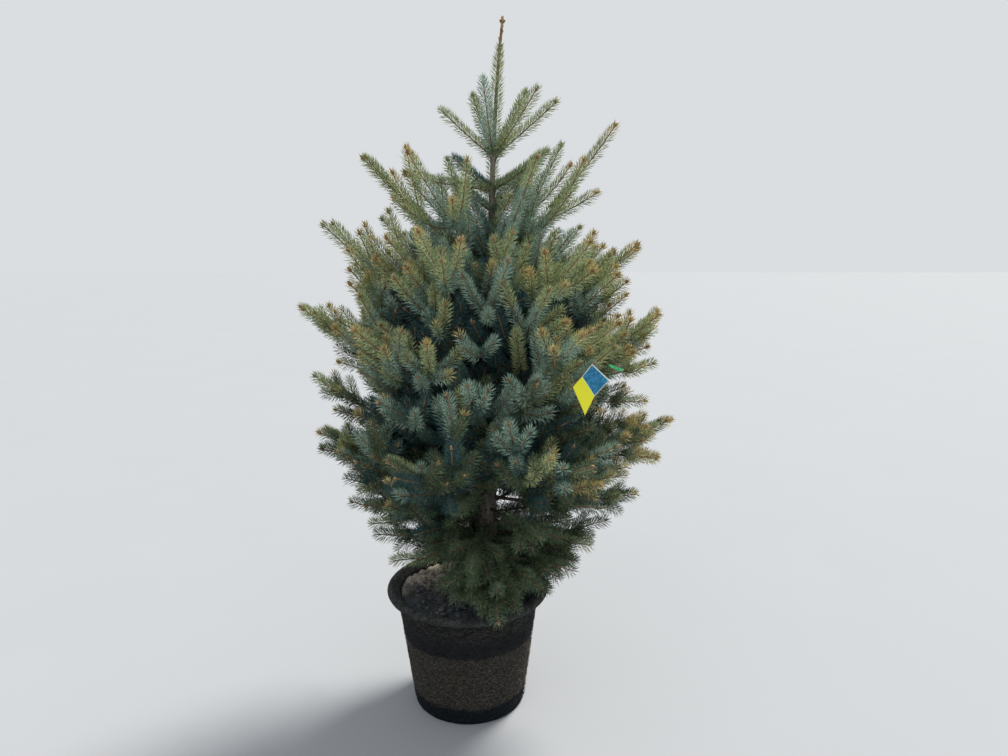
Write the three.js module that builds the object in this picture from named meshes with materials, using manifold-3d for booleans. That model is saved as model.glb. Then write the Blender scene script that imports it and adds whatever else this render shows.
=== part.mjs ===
// A blue spruce, 1.8 m from the soil to its tip, standing in a moulded fibre pot.
//
// Millimetres, +Z up. The origin is the middle of the pot's flat underside. +X runs to the
// right and +Y away, seen from the side where the nursery label hangs.
// The trunk runs whole from the soil to the tip. The crown is seven whorls of foliage:
// the upper ones start at the trunk, the lower three are carried by bare boughs.

import * as THREE from 'three';
import * as BufferGeometryUtils from 'three/addons/utils/BufferGeometryUtils.js';
import Module from 'manifold-3d';

const wasm = await Module();
wasm.setup();

// General
const GAP = 0.3;
const CUT_GAP = 0.4;
const UP = new THREE.Vector3(0, 0, 1);

// Pot
const POT_HEIGHT = 410;
const POT_BASE_RADIUS = 187.5;
const POT_NECK_RADIUS = 234;
const POT_RIM_RADIUS = 268.5;
const POT_WALL = 12;
const POT_FLOOR = 14;
const POT_BASE_ROUND = 8;
const POT_NECK_Z = 386;
const POT_LIP_HALF_WIDTH = 14.5;
const POT_LIP_HALF_HEIGHT = 14;
const POT_LIP_STEPS = 6;
const POT_LEDGE_Z = 352;
const POT_LEDGE = 2.5;
const POT_SEGMENTS = 40;

// Soil
const SOIL_Z = 391;
const SOIL_FLAT_RADIUS = 165;
const SOIL_EDGE_DROP = 11;

// Trunk
const TIP_Z = 2190;
const TRUNK_BASE_X = 64.5;
const TRUNK_BASE_Y = 10;
const TRUNK_LEAN = 22;
const TRUNK_TIP_BEND = 32;
const TRUNK_RADIUS = 32;
const TRUNK_TIP_RADIUS = 3;
const TRUNK_TAPER_POWER = 1.24;
const FLARE = 12;
const FLARE_HEIGHT = 55;
const FLARE_LOBES = 4;
const FLARE_LOBE_DEPTH = 0.3;
const FLARE_LOBE_TURN = 0.6;
const TRUNK_SIDES = 12;
const TRUNK_RINGS = 22;
const TRUNK_RING_POWER = 1.35;

// Leader: the brush of needles round the last year's growth
const LEADER_FROM = 1852;
const LEADER_TO = 2105;
const LEADER_RADIUS = 25;
const LEADER_TIP_RADIUS = 13;
const LEADER_SIDES = 9;
const LEADER_RINGS = 5;

// Whorls, from the top down. Each has boughs at even turns round the trunk at its height.
// reach is the distance from the trunk's middle to a tip, and shift what it gains to the right;
// rise is the height of a tip over its root, lift what it gains to the right and droop what it
// loses towards the front; bare is the length of bough that shows before the foliage begins;
// spread, above and below are how far the foliage stands to either side, over and under a bough,
// and hang is what it gains underneath to the right.
// The two top whorls stand clear of the rest, so each of their shoots has its own turn, reach
// and rise, and wedge is the half angle that each may fill.
const WHORLS = [
  {
    name: 'top_whorl', height: 1789, count: 6, wedge: 22, bend: 0.1, bare: 0,
    shoots: [
      [5, 190, 162], [55, 178, 214], [113, 170, 204],
      [175, 158, 138], [258, 130, 200], [318, 170, 176],
    ],
    spread: 27, above: 18, below: 14, hang: 0, rings: 4, sides: 8,
  },
  {
    name: 'second_whorl', height: 1689, count: 4, wedge: 24, bend: 0.15, bare: 0,
    shoots: [[348, 172, 108], [40, 202, 100], [140, 150, 104], [222, 140, 12]],
    spread: 34, above: 20, below: 16, hang: 0, rings: 4, sides: 8,
  },
  {
    name: 'upper_tier', height: 1440, count: 6, turn: -5, wander: 4, reach: 380, shift: -4,
    rise: 392, lift: 44, droop: 0, bend: 0.25, bare: 0,
    spread: 140, above: 96, below: 116, hang: 0, rings: 8, sides: 9,
  },
  {
    name: 'shoulder_tier', height: 1200, count: 6, turn: 8, wander: 4, reach: 486, shift: -12,
    rise: 356, lift: -30, droop: 0, bend: 0.25, bare: 0,
    spread: 180, above: 126, below: 126, hang: 0, rings: 8, sides: 9,
  },
  {
    name: 'middle_tier', height: 970, count: 6, turn: -6, wander: 4, reach: 562, shift: -32,
    rise: 352, lift: -6, droop: 10, bend: 0.25, bare: 96,
    spread: 205, above: 128, below: 150, hang: 0, rings: 8, sides: 9,
  },
  {
    name: 'lower_tier', height: 740, count: 6, turn: 3, wander: 4, reach: 560, shift: 22,
    rise: 208, lift: 20, droop: 0, bend: 0.2, bare: 128,
    spread: 205, above: 122, below: 128, hang: -26, rings: 8, sides: 9,
  },
  {
    name: 'skirt_tier', height: 552, count: 4, turn: -84, wander: 6, reach: 345, shift: -18,
    rise: 32, lift: -40, droop: 138, bend: 0, bare: 118,
    spread: 150, above: 66, below: 38, hang: 34, rings: 7, sides: 8,
  },
];
const ROOT_RADIUS = 3;
const TIP_HALF = 15;
const TOOTH_DEPTH = 0.27;
const TOOTH_LEAN = 0.07;
const UNEVEN = 0.13;
const ROOT_SHARE = 0.6;
const TAPER_POWER = 0.65;
const REACH_WANDER = 0.03;

// Boughs
const BOUGH_RADIUS = 9.5;
const BOUGH_END_RADIUS = 6;
const BOUGH_SIDES = 7;
const BOUGH_RINGS = 3;

// Label and its tie. The corners are across and along the card, which tapers as it twists.
const LABEL_CORNERS = [[-38, 55], [29, 50], [23, -9], [34, -65], [-42, -25], [-39, 12]];
const LABEL_THICKNESS = 0.8;
const LABEL_CENTRE = new THREE.Vector3(351, -401, 1154);
const LABEL_TURN = THREE.MathUtils.degToRad(-38);
const LABEL_FACING = THREE.MathUtils.degToRad(12);
const LABEL_EYE = [14, 44];
const TIE_WIDTH = 4;
const TIE_DEPTH = 1.4;
const TIE_LENGTH = 150;
const TIE_STEPS = 8;
const TIE_SWEEP = 0.3;
const TIE_WHORL = 4;
const TIE_BOUGH = 5;

const potMaterial = new THREE.MeshStandardMaterial({ color: 0x5c4a39, roughness: 0.95, metalness: 0 });
const soilMaterial = new THREE.MeshStandardMaterial({ color: 0x6d553c, roughness: 1, metalness: 0 });
const barkMaterial = new THREE.MeshStandardMaterial({ color: 0x6a4a38, roughness: 0.9, metalness: 0 });
const labelMaterial = new THREE.MeshStandardMaterial({ color: 0x3a97c9, roughness: 0.4, metalness: 0 });
const tieMaterial = new THREE.MeshStandardMaterial({ color: 0x2dbb5c, roughness: 0.45, metalness: 0 });
const NEEDLE_COLOURS = [0x7e8c5e, 0x76896a, 0x647f71, 0x5b7a70, 0x54736c, 0x4f6e68, 0x4d6a5e];

/** A repeatable number from -1 to 1 for two whole numbers. */
function sway(first, second) {
  const value = Math.sin(first * 127.1 + second * 311.7) * 43758.5453;
  return 2 * (value - Math.floor(value)) - 1;
}

/** How far up the trunk a height lies, from 0 at the soil to 1 at the tip. */
function trunkShare(z) {
  return (z - SOIL_Z) / (TIP_Z - SOIL_Z);
}

/** The middle of the trunk at a height. */
function trunkMiddle(z) {
  const share = trunkShare(z);
  const x = TRUNK_BASE_X + TRUNK_LEAN * share + TRUNK_TIP_BEND * share ** 6;
  return new THREE.Vector3(x, TRUNK_BASE_Y * (1 - share), z);
}

/** The trunk's radius at a height and an angle round it, with its lobed root flare. */
function trunkRadius(z, angle) {
  const share = THREE.MathUtils.clamp(trunkShare(z), 0, 1);
  const stem = TRUNK_TIP_RADIUS
    + (TRUNK_RADIUS - TRUNK_TIP_RADIUS) * (1 - share) ** TRUNK_TAPER_POWER;
  const lobes = 1 + FLARE_LOBE_DEPTH * Math.cos(FLARE_LOBES * angle + FLARE_LOBE_TURN);
  return stem + FLARE * lobes * Math.exp(-(z - SOIL_Z) / FLARE_HEIGHT);
}

/**
 * A closed cylinder whose vertices are moved by place(angle, out, along, index):
 * angle runs round it, out is 0 in the middle of a cap and 1 on the side, along is 0 to 1.
 */
function shapedCylinder(sides, rings, place) {
  const plain = new THREE.CylinderGeometry(1, 1, 1, sides, rings);
  plain.deleteAttribute('normal');
  plain.deleteAttribute('uv');
  const geometry = BufferGeometryUtils.mergeVertices(plain);
  const position = geometry.getAttribute('position');
  const point = new THREE.Vector3();
  for (let i = 0; i < position.count; i += 1) {
    point.fromBufferAttribute(position, i);
    const angle = Math.atan2(point.z, point.x);
    const out = Math.hypot(point.x, point.z);
    point.copy(place(angle, out, point.y + 0.5, i));
    position.setXYZ(i, point.x, point.y, point.z);
  }
  geometry.computeVertexNormals();
  return geometry;
}

/** The solid of a closed geometry, for joining and cutting. */
function toSolid(geometry) {
  const bare = geometry.clone();
  bare.deleteAttribute('normal');
  if (bare.hasAttribute('uv')) bare.deleteAttribute('uv');
  const merged = BufferGeometryUtils.mergeVertices(bare);
  const vertProperties = new Float32Array(merged.getAttribute('position').array);
  const triVerts = new Uint32Array(merged.index.array);
  return new wasm.Manifold(new wasm.Mesh({ numProp: 3, vertProperties, triVerts }));
}

/** The geometry of a solid after its cuts. */
function toGeometry(solid) {
  const mesh = solid.getMesh();
  const geometry = new THREE.BufferGeometry();
  geometry.setAttribute('position', new THREE.BufferAttribute(new Float32Array(mesh.vertProperties), 3));
  geometry.setIndex(new THREE.BufferAttribute(new Uint32Array(mesh.triVerts), 1));
  geometry.computeVertexNormals();
  return geometry;
}

/** A named piece in its material. */
function piece(name, geometry, material) {
  const mesh = new THREE.Mesh(geometry, material);
  mesh.name = name;
  return mesh;
}

/** The pot's outer radius at a height under its rim: a straight taper with a small ledge. */
function potOuterRadius(z) {
  const radius = THREE.MathUtils.mapLinear(z, 0, POT_NECK_Z, POT_BASE_RADIUS, POT_NECK_RADIUS);
  return z > POT_LEDGE_Z ? radius + POT_LEDGE : radius;
}

/** The rolled lip's section, from its underside round the outside and top to the inside. */
function lipPoint(step) {
  const angle = (Math.PI / 4) * (step - 2);
  const radius = POT_RIM_RADIUS - POT_LIP_HALF_WIDTH * (1 - Math.cos(angle));
  return new THREE.Vector2(radius, POT_HEIGHT - POT_LIP_HALF_HEIGHT * (1 - Math.sin(angle)));
}

/** The pot: a tapered fibre bucket whose rim rolls outwards and down. */
function fibrePot() {
  const innerRim = potOuterRadius(POT_NECK_Z) - POT_WALL;
  const neckZ = POT_HEIGHT - 2 * POT_LIP_HALF_HEIGHT - POT_LEDGE;
  const profile = [
    new THREE.Vector2(0, 0),
    new THREE.Vector2(POT_BASE_RADIUS - POT_BASE_ROUND, 0),
    new THREE.Vector2(potOuterRadius(POT_BASE_ROUND), POT_BASE_ROUND),
    new THREE.Vector2(potOuterRadius(POT_LEDGE_Z), POT_LEDGE_Z),
    new THREE.Vector2(potOuterRadius(POT_LEDGE_Z + POT_LEDGE), POT_LEDGE_Z + POT_LEDGE),
    new THREE.Vector2(potOuterRadius(neckZ), neckZ),
    ...Array.from({ length: POT_LIP_STEPS }, (unused, step) => lipPoint(step)),
    new THREE.Vector2(innerRim + POT_WALL / 2, POT_HEIGHT - POT_WALL),
    new THREE.Vector2(innerRim, POT_NECK_Z),
    new THREE.Vector2(potOuterRadius(POT_FLOOR) - POT_WALL, POT_FLOOR),
    new THREE.Vector2(0, POT_FLOOR),
  ];
  const geometry = new THREE.LatheGeometry(profile, POT_SEGMENTS);
  geometry.rotateX(Math.PI / 2);
  return piece('fibre_pot', geometry, potMaterial);
}

/** The soil: it fills the pot, flat round the trunk and settled a little at the wall. */
function pottingSoil() {
  const bottom = POT_FLOOR + GAP;
  const edgeZ = SOIL_Z - SOIL_EDGE_DROP;
  const floorRadius = potOuterRadius(POT_FLOOR) - POT_WALL - 2 * GAP;
  const neckRadius = potOuterRadius(POT_NECK_Z) - POT_WALL - 2 * GAP;
  const wallRadius = (z) => THREE.MathUtils.mapLinear(z, POT_FLOOR, POT_NECK_Z, floorRadius, neckRadius);
  const profile = [
    new THREE.Vector2(0, bottom),
    new THREE.Vector2(wallRadius(bottom), bottom),
    new THREE.Vector2(wallRadius(edgeZ), edgeZ),
    new THREE.Vector2(SOIL_FLAT_RADIUS, SOIL_Z),
    new THREE.Vector2(0, SOIL_Z),
  ];
  const geometry = new THREE.LatheGeometry(profile, POT_SEGMENTS);
  geometry.rotateX(Math.PI / 2);
  return piece('potting_soil', geometry, soilMaterial);
}

/** The trunk from its flat cut on the soil to the tip, or the same shape grown by a clearance. */
function trunkGeometry(clearance) {
  const foot = SOIL_Z + GAP - clearance;
  return shapedCylinder(TRUNK_SIDES, TRUNK_RINGS, (angle, out, along) => {
    const z = foot + (TIP_Z + clearance - foot) * along ** TRUNK_RING_POWER;
    const radius = out * (trunkRadius(z, angle) + clearance);
    return trunkMiddle(z).add(new THREE.Vector3(radius * Math.cos(angle), -radius * Math.sin(angle), 0));
  });
}

const grownTrunk = toSolid(trunkGeometry(CUT_GAP));

/** The brush of needles round the leader, open along its middle where the trunk runs through. */
function leaderNeedles() {
  const brush = shapedCylinder(LEADER_SIDES, LEADER_RINGS, (angle, out, along, index) => {
    const z = THREE.MathUtils.lerp(LEADER_FROM, LEADER_TO, along);
    const radius = THREE.MathUtils.lerp(LEADER_RADIUS, LEADER_TIP_RADIUS, along);
    const uneven = out * radius * (1 + UNEVEN * sway(index, 0));
    return trunkMiddle(z).add(new THREE.Vector3(uneven * Math.cos(angle), -uneven * Math.sin(angle), 0));
  });
  const geometry = toGeometry(toSolid(brush).subtract(grownTrunk));
  return piece('leader_needles', geometry, needleMaterial(0));
}

/** The needles' colour by whorl: olive at the sunny top, bluer and darker below. */
function needleMaterial(whorlIndex) {
  return new THREE.MeshStandardMaterial({
    color: NEEDLE_COLOURS[whorlIndex], roughness: 0.75, metalness: 0,
  });
}

/** One bough's turn, reach and rise: its own at the top, by the whorl's rule below. */
function boughSizes(whorl, seed, k) {
  if (whorl.shoots) return whorl.shoots[k];
  const turn = whorl.turn + (360 * k) / whorl.count + whorl.wander * sway(seed, 1);
  const toRight = Math.cos(THREE.MathUtils.degToRad(turn));
  const toFront = Math.min(0, Math.sin(THREE.MathUtils.degToRad(turn)));
  const reach = (whorl.reach + whorl.shift * toRight) * (1 + REACH_WANDER * sway(seed, 2));
  return [turn, reach, whorl.rise + whorl.lift * toRight + whorl.droop * toFront];
}

/** One bough's line: its root on the trunk, direction, reach and rise. */
function boughLine(whorl, whorlIndex, k) {
  const seed = 10 * whorlIndex + k;
  const [turn, reach, rise] = boughSizes(whorl, seed, k);
  const azimuth = THREE.MathUtils.degToRad(turn);
  const outward = new THREE.Vector3(Math.cos(azimuth), Math.sin(azimuth), 0);
  return {
    root: trunkMiddle(whorl.height),
    outward,
    sideways: outward.clone().cross(UP),
    reach,
    rise,
    wedge: THREE.MathUtils.degToRad(whorl.wedge ?? 180 / whorl.count - whorl.wander),
    bend: whorl.bend,
    seed,
  };
}

/** The point on a bough's line at a distance from the trunk's middle. */
function boughPoint(line, distance) {
  const share = distance / line.reach;
  const lift = line.rise * share * (1 - line.bend + line.bend * share);
  return line.root.clone().addScaledVector(line.outward, distance).addScaledVector(UP, lift);
}

/**
 * One mass of foliage: a flattened spray round the bough's line. It stays inside its own wedge
 * round the trunk, its sides are toothed by the tips of side shoots, and its end is the tip.
 */
function foliageGeometry(whorl, line) {
  const start = whorl.bare > 0 ? whorl.bare : ROOT_RADIUS;
  return shapedCylinder(whorl.sides, whorl.rings, (angle, out, along, index) => {
    const ring = Math.round(along * whorl.rings);
    const inner = along > 0 && along < 1;
    const across = out * Math.cos(angle);
    const upward = out * Math.sin(angle);
    const notch = inner && ring % 2 === 1 ? 1 - TOOTH_DEPTH : 1;
    const lean = inner && ring % 2 === 0 ? TOOTH_LEAN * line.reach * across * across : 0;
    const distance = Math.min(start + (line.reach - start) * along + lean, line.reach);
    const wedgeHalf = distance * Math.tan(line.wedge) - CUT_GAP;
    const taper = (1 - along) ** TAPER_POWER;
    const half = Math.min(wedgeHalf, whorl.spread * taper * notch + TIP_HALF);
    const bulge = (ROOT_SHARE + (1 - ROOT_SHARE) * Math.sin(Math.PI * along)) * (1 - along ** 4);
    const below = whorl.below + whorl.hang * line.outward.x;
    const deep = (upward < 0 ? below : whorl.above) * bulge + TIP_HALF * along;
    const uneven = inner ? 1 + UNEVEN * sway(index, line.seed) : 1;
    return boughPoint(line, distance)
      .addScaledVector(line.sideways, across * half * Math.min(1, uneven))
      .addScaledVector(UP, upward * deep * uneven);
  });
}

/** A bare bough from the trunk to the foliage it carries, as a slim tapering limb. */
function boughGeometry(whorl, line) {
  const end = whorl.bare - GAP;
  return shapedCylinder(BOUGH_SIDES, BOUGH_RINGS, (angle, out, along) => {
    const radius = out * THREE.MathUtils.lerp(BOUGH_RADIUS, BOUGH_END_RADIUS, along);
    return boughPoint(line, end * along)
      .addScaledVector(line.sideways, radius * Math.cos(angle))
      .addScaledVector(UP, radius * Math.sin(angle));
  });
}

/** The label: a thin plastic strip that hangs aslant by one end. */
function hangingLabel() {
  const outline = new THREE.Shape(LABEL_CORNERS.map(([across, along]) => new THREE.Vector2(across, along)));
  const geometry = new THREE.ExtrudeGeometry(outline, { depth: LABEL_THICKNESS, bevelEnabled: false });
  geometry.rotateZ(LABEL_TURN);
  geometry.rotateX(Math.PI / 2);
  geometry.rotateZ(LABEL_FACING);
  geometry.translate(LABEL_CENTRE.x, LABEL_CENTRE.y, LABEL_CENTRE.z);
  return piece('label', geometry, labelMaterial);
}

/** The tie: a flat strap from the label's upper end into the foliage, ending at its surface. */
function labelTie(foliage) {
  const facing = new THREE.Vector3(0, 1, 0).applyAxisAngle(UP, LABEL_FACING);
  const eye = new THREE.Vector3(LABEL_EYE[0], LABEL_EYE[1], 0);
  eye.applyAxisAngle(UP, LABEL_TURN);
  eye.applyAxisAngle(new THREE.Vector3(1, 0, 0), Math.PI / 2);
  eye.applyAxisAngle(UP, LABEL_FACING);
  const start = eye.add(LABEL_CENTRE).addScaledVector(facing, GAP);
  const middle = new THREE.Box3().setFromBufferAttribute(foliage.getAttribute('position'))
    .getCenter(new THREE.Vector3());
  const into = middle.sub(start).setLength(TIE_LENGTH);
  const route = new THREE.CubicBezierCurve3(
    start,
    start.clone().addScaledVector(facing, TIE_LENGTH * TIE_SWEEP),
    start.clone().addScaledVector(into, 1 - TIE_SWEEP),
    start.clone().add(into),
  );
  const section = new THREE.Shape();
  section.moveTo(-TIE_DEPTH / 2, -TIE_WIDTH / 2);
  section.lineTo(TIE_DEPTH / 2, -TIE_WIDTH / 2);
  section.lineTo(TIE_DEPTH / 2, TIE_WIDTH / 2);
  section.lineTo(-TIE_DEPTH / 2, TIE_WIDTH / 2);
  section.closePath();
  const strap = new THREE.ExtrudeGeometry(section, { steps: TIE_STEPS, extrudePath: route });
  const towards = into.clone().setLength(-CUT_GAP);
  const cutter = toSolid(foliage).translate([towards.x, towards.y, towards.z]);
  return piece('label_tie', toGeometry(toSolid(strap).subtract(cutter)), tieMaterial);
}

const spruce = new THREE.Group();
spruce.add(fibrePot());
spruce.add(pottingSoil());
spruce.add(piece('trunk', trunkGeometry(0), barkMaterial));
spruce.add(leaderNeedles());

WHORLS.forEach((whorl, whorlIndex) => {
  for (let k = 0; k < whorl.count; k += 1) {
    const line = boughLine(whorl, whorlIndex, k);
    const foliage = foliageGeometry(whorl, line);
    const name = `${whorl.name}_${k + 1}`;
    if (whorl.bare > 0) {
      const bough = toGeometry(toSolid(boughGeometry(whorl, line)).subtract(grownTrunk));
      spruce.add(piece(`${name}_bough`, bough, barkMaterial));
      spruce.add(piece(name, foliage, needleMaterial(whorlIndex)));
    } else {
      const cut = toGeometry(toSolid(foliage).subtract(grownTrunk));
      spruce.add(piece(name, cut, needleMaterial(whorlIndex)));
    }
  }
});

spruce.add(hangingLabel());
const tiedWhorl = WHORLS[TIE_WHORL];
spruce.add(labelTie(foliageGeometry(tiedWhorl, boughLine(tiedWhorl, TIE_WHORL, TIE_BOUGH))));

export default spruce;
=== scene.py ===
"""Looks of a young blue spruce in a moulded fibre pot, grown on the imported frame.

Sizes are in metres in the row's frame: the pot's underside is at height 0, X runs to the
right and Y away from the camera. Limbs are quadratic curves: a start, a reach and a bend.
"""
import logging
import math
from dataclasses import dataclass, fields, replace
from enum import Enum

import bpy
import numpy as np
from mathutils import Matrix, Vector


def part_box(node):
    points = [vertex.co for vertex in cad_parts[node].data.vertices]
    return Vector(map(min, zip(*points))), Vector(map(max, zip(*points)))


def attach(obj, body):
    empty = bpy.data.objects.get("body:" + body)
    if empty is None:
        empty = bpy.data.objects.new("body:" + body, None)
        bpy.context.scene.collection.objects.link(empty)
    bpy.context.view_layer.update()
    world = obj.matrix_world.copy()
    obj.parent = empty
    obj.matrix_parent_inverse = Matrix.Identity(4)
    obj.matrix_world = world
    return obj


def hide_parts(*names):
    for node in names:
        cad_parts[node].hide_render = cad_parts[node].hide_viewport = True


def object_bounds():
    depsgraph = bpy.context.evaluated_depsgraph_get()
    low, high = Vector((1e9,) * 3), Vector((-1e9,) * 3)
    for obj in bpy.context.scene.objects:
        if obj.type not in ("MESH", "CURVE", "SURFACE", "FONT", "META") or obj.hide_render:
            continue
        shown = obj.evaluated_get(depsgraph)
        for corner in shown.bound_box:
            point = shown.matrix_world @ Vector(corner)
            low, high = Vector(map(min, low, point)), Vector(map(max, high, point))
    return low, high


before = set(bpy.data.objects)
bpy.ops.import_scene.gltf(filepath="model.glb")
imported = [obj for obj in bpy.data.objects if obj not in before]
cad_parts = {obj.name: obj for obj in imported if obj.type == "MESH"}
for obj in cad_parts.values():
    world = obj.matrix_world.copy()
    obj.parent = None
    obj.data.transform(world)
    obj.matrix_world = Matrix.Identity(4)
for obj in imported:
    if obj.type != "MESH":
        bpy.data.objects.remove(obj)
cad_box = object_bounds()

Array = np.ndarray
Socket = bpy.types.NodeSocket
LOG = logging.getLogger("spruce")
UP = np.array([0.0, 0.0, 1.0])
GOLDEN_TURN = math.pi * (3 - math.sqrt(5))
BLACK = (0, 0, 0)
WHITE = (1, 1, 1)
CROWN_X = 0.075


class NeedleTone(Enum):
    """The base colours that whole sprays of needles are dealt. They differ partly by age and partly
    as painted light: olive, silver and gold are lighter copies for painted sunlight, deep and moss
    darker copies for painted shade.
    """

    DEEP = "needles_deep"
    BLUE = "needles_blue"
    SILVER = "needles_silver"
    OLIVE = "needles_olive"
    GOLD = "needles_gold"
    MOSS = "needles_moss"

    def slot(self) -> str:
        """The slot's name; it counts the shaded moss green as deep."""
        return "needles_deep" if self is NeedleTone.MOSS else self.value


# The tones' numbers in arrays, in the order of NeedleTone
DEEP, BLUE, SILVER, OLIVE, GOLD, MOSS = range(len(NeedleTone))


class CrownBand(Enum):
    """The storeys of the crown, each a range of tiers that shares its pieces."""

    TOP = "top"
    UPPER = "upper"
    SHOULDER = "shoulder"
    MIDDLE = "middle"
    LOWER = "lower"
    SKIRT = "skirt"


# Noise and small vector helpers


def hashed(a: Array, b: Array, seed: float) -> Array:
    """Random values from whole-number pairs: the fraction left of a large multiple of a sine.

    Args:
        a: First whole numbers.
        b: Second whole numbers.
        seed: Chooses another set of values.

    Returns:
        Values from 0 to 1.
    """
    wave = np.sin(np.asarray(a) * 127.1 + np.asarray(b) * 311.7 + seed * 74.7) * 43758.5453
    return wave - np.floor(wave)


def sway(a: float, b: float) -> float:
    """The part's own random value from -1 to 1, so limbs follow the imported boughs."""
    wave = math.sin(127.1 * a + 311.7 * b) * 43758.5453
    return 2 * (wave - math.floor(wave)) - 1


def lattice_noise(u: Array, v: Array, seed: float, wrap: int = 1 << 30) -> Array:
    """Smooth noise: random values on a unit grid, blended across each cell by 3t2 - 2t3.

    Args:
        u: First coordinate, in cells.
        v: Second coordinate, in cells.
        seed: Chooses another pattern.
        wrap: Cells after which the first coordinate repeats, so a closed wall has no seam.

    Returns:
        Values from 0 to 1, the shape of u and v.
    """
    u0 = np.floor(u)
    v0 = np.floor(v)
    fu = u - u0
    fv = v - v0
    fu = fu * fu * (3 - 2 * fu)
    fv = fv * fv * (3 - 2 * fv)
    near = np.mod(u0, wrap)
    far = np.mod(u0 + 1, wrap)
    low = hashed(near, v0, seed) * (1 - fu) + hashed(far, v0, seed) * fu
    high = hashed(near, v0 + 1, seed) * (1 - fu) + hashed(far, v0 + 1, seed) * fu
    return low * (1 - fv) + high * fv


def unit(vectors: Array) -> Array:
    """Each vector divided by its own length."""
    length = np.linalg.norm(vectors, axis=-1, keepdims=True)
    return vectors / np.maximum(length, 1e-9)


def square_to(tangent: Array) -> tuple[Array, Array]:
    """Side and upper directions square to a tangent, the upper one nearest to straight up.

    Args:
        tangent: Unit vectors.

    Returns:
        The side vectors and the upper vectors.
    """
    lean = np.where(np.abs(tangent[..., 2:3]) > 0.985, np.array([0.0, 1.0, 0.0]), UP)
    side = unit(np.cross(tangent, lean))
    return side, np.cross(side, tangent)


def turned_out(side: Array, upper: Array, turn: Array) -> Array:
    """Directions square to a tangent: turned from its side direction towards its upper one."""
    return np.cos(turn)[..., None] * side + np.sin(turn)[..., None] * upper


def polar(radius: Array, angle: Array, height: Array) -> Array:
    """Points from their distance and angle about the upright axis and their height."""
    return np.stack([radius * np.cos(angle), radius * np.sin(angle), height], -1)


# Meshes


def build_mesh(name: str, points: Array, faces: Array, smooth: bool = True) -> bpy.types.Object:
    """Puts points and equal-sided faces into a new mesh object at the origin.

    Args:
        name: The piece's name.
        points: Corner places, (n, 3).
        faces: Corner numbers, (m, 3) or (m, 4), turning left as seen from outside.
        smooth: Whether the faces shade smoothly.

    Returns:
        The new object.
    """
    mesh = bpy.data.meshes.new(name)
    corners = faces.shape[1]
    mesh.vertices.add(len(points))
    mesh.vertices.foreach_set("co", np.ascontiguousarray(points, np.float32).ravel())
    mesh.loops.add(faces.size)
    mesh.loops.foreach_set("vertex_index", np.ascontiguousarray(faces, np.int32).ravel())
    mesh.polygons.add(len(faces))
    mesh.polygons.foreach_set("loop_start", np.arange(0, faces.size, corners, dtype=np.int32))
    mesh.polygons.foreach_set("loop_total", np.full(len(faces), corners, np.int32))
    mesh.update(calc_edges=True)
    mesh.polygons.foreach_set("use_smooth", np.full(len(faces), smooth))
    piece = bpy.data.objects.new(name, mesh)
    bpy.context.scene.collection.objects.link(piece)
    return piece


def add_piece(name: str, points: Array, faces: Array, finish: "Finish", slot: str,
              nodes: tuple = (), smooth: bool = True, **painted: Array) -> None:
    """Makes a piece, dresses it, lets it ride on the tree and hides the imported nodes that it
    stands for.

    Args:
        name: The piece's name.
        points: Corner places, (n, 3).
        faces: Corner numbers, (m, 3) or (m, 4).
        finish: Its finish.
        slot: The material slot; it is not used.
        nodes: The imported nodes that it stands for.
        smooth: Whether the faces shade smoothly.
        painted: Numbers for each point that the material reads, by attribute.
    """
    piece = build_mesh(name, points, faces, smooth)
    for key, values in painted.items():
        attribute = piece.data.attributes.new(key, "FLOAT", "POINT")
        attribute.data.foreach_set("value", np.ascontiguousarray(values, np.float32).ravel())
    piece.data.materials.append(finish.material())
    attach(piece, "root")
    if nodes:
        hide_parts(*nodes)
    LOG.info("%s: %d triangles", name, faces.size - 2 * len(faces))


def add_needles(name: str, corners: Array, tone: NeedleTone, nodes: tuple = ()) -> None:
    """Makes one piece of folded kites.

    Args:
        name: The piece's name.
        corners: Foot, one edge, point and other edge of each needle, (n, 4, 3).
        tone: Their tone.
        nodes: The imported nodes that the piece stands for.
    """
    fold = np.array([[0, 2, 1], [0, 3, 2]])
    faces = fold + (np.arange(len(corners)) * 4)[:, None, None]
    add_piece(name, corners.reshape(-1, 3), faces.reshape(-1, 3), NEEDLE_FINISHES[tone],
              tone.slot(), nodes, False)


def ring_faces(rings: int, sides: int) -> Array:
    """Triangles of a closed tube: walls between its rings, then a fan at each end.

    Args:
        rings: Rings of points, numbered ring after ring.
        sides: Points in a ring.

    Returns:
        Corner numbers (m, 3). The points that close the ends come last, the first ring's first.
    """
    step = np.arange(sides)
    after = (step + 1) % sides
    ring = np.arange(rings - 1)[:, None] * sides
    a, b = ring + step, ring + after
    c, d = b + sides, a + sides
    walls = np.concatenate([np.stack([a, c, b], -1).reshape(-1, 3),
                            np.stack([a, d, c], -1).reshape(-1, 3)])
    size = rings * sides
    last = size - sides
    start = np.stack([np.full(sides, size), step, after], -1)
    end = np.stack([np.full(sides, size + 1), last + after, last + step], -1)
    return np.concatenate([walls, start, end])


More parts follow.
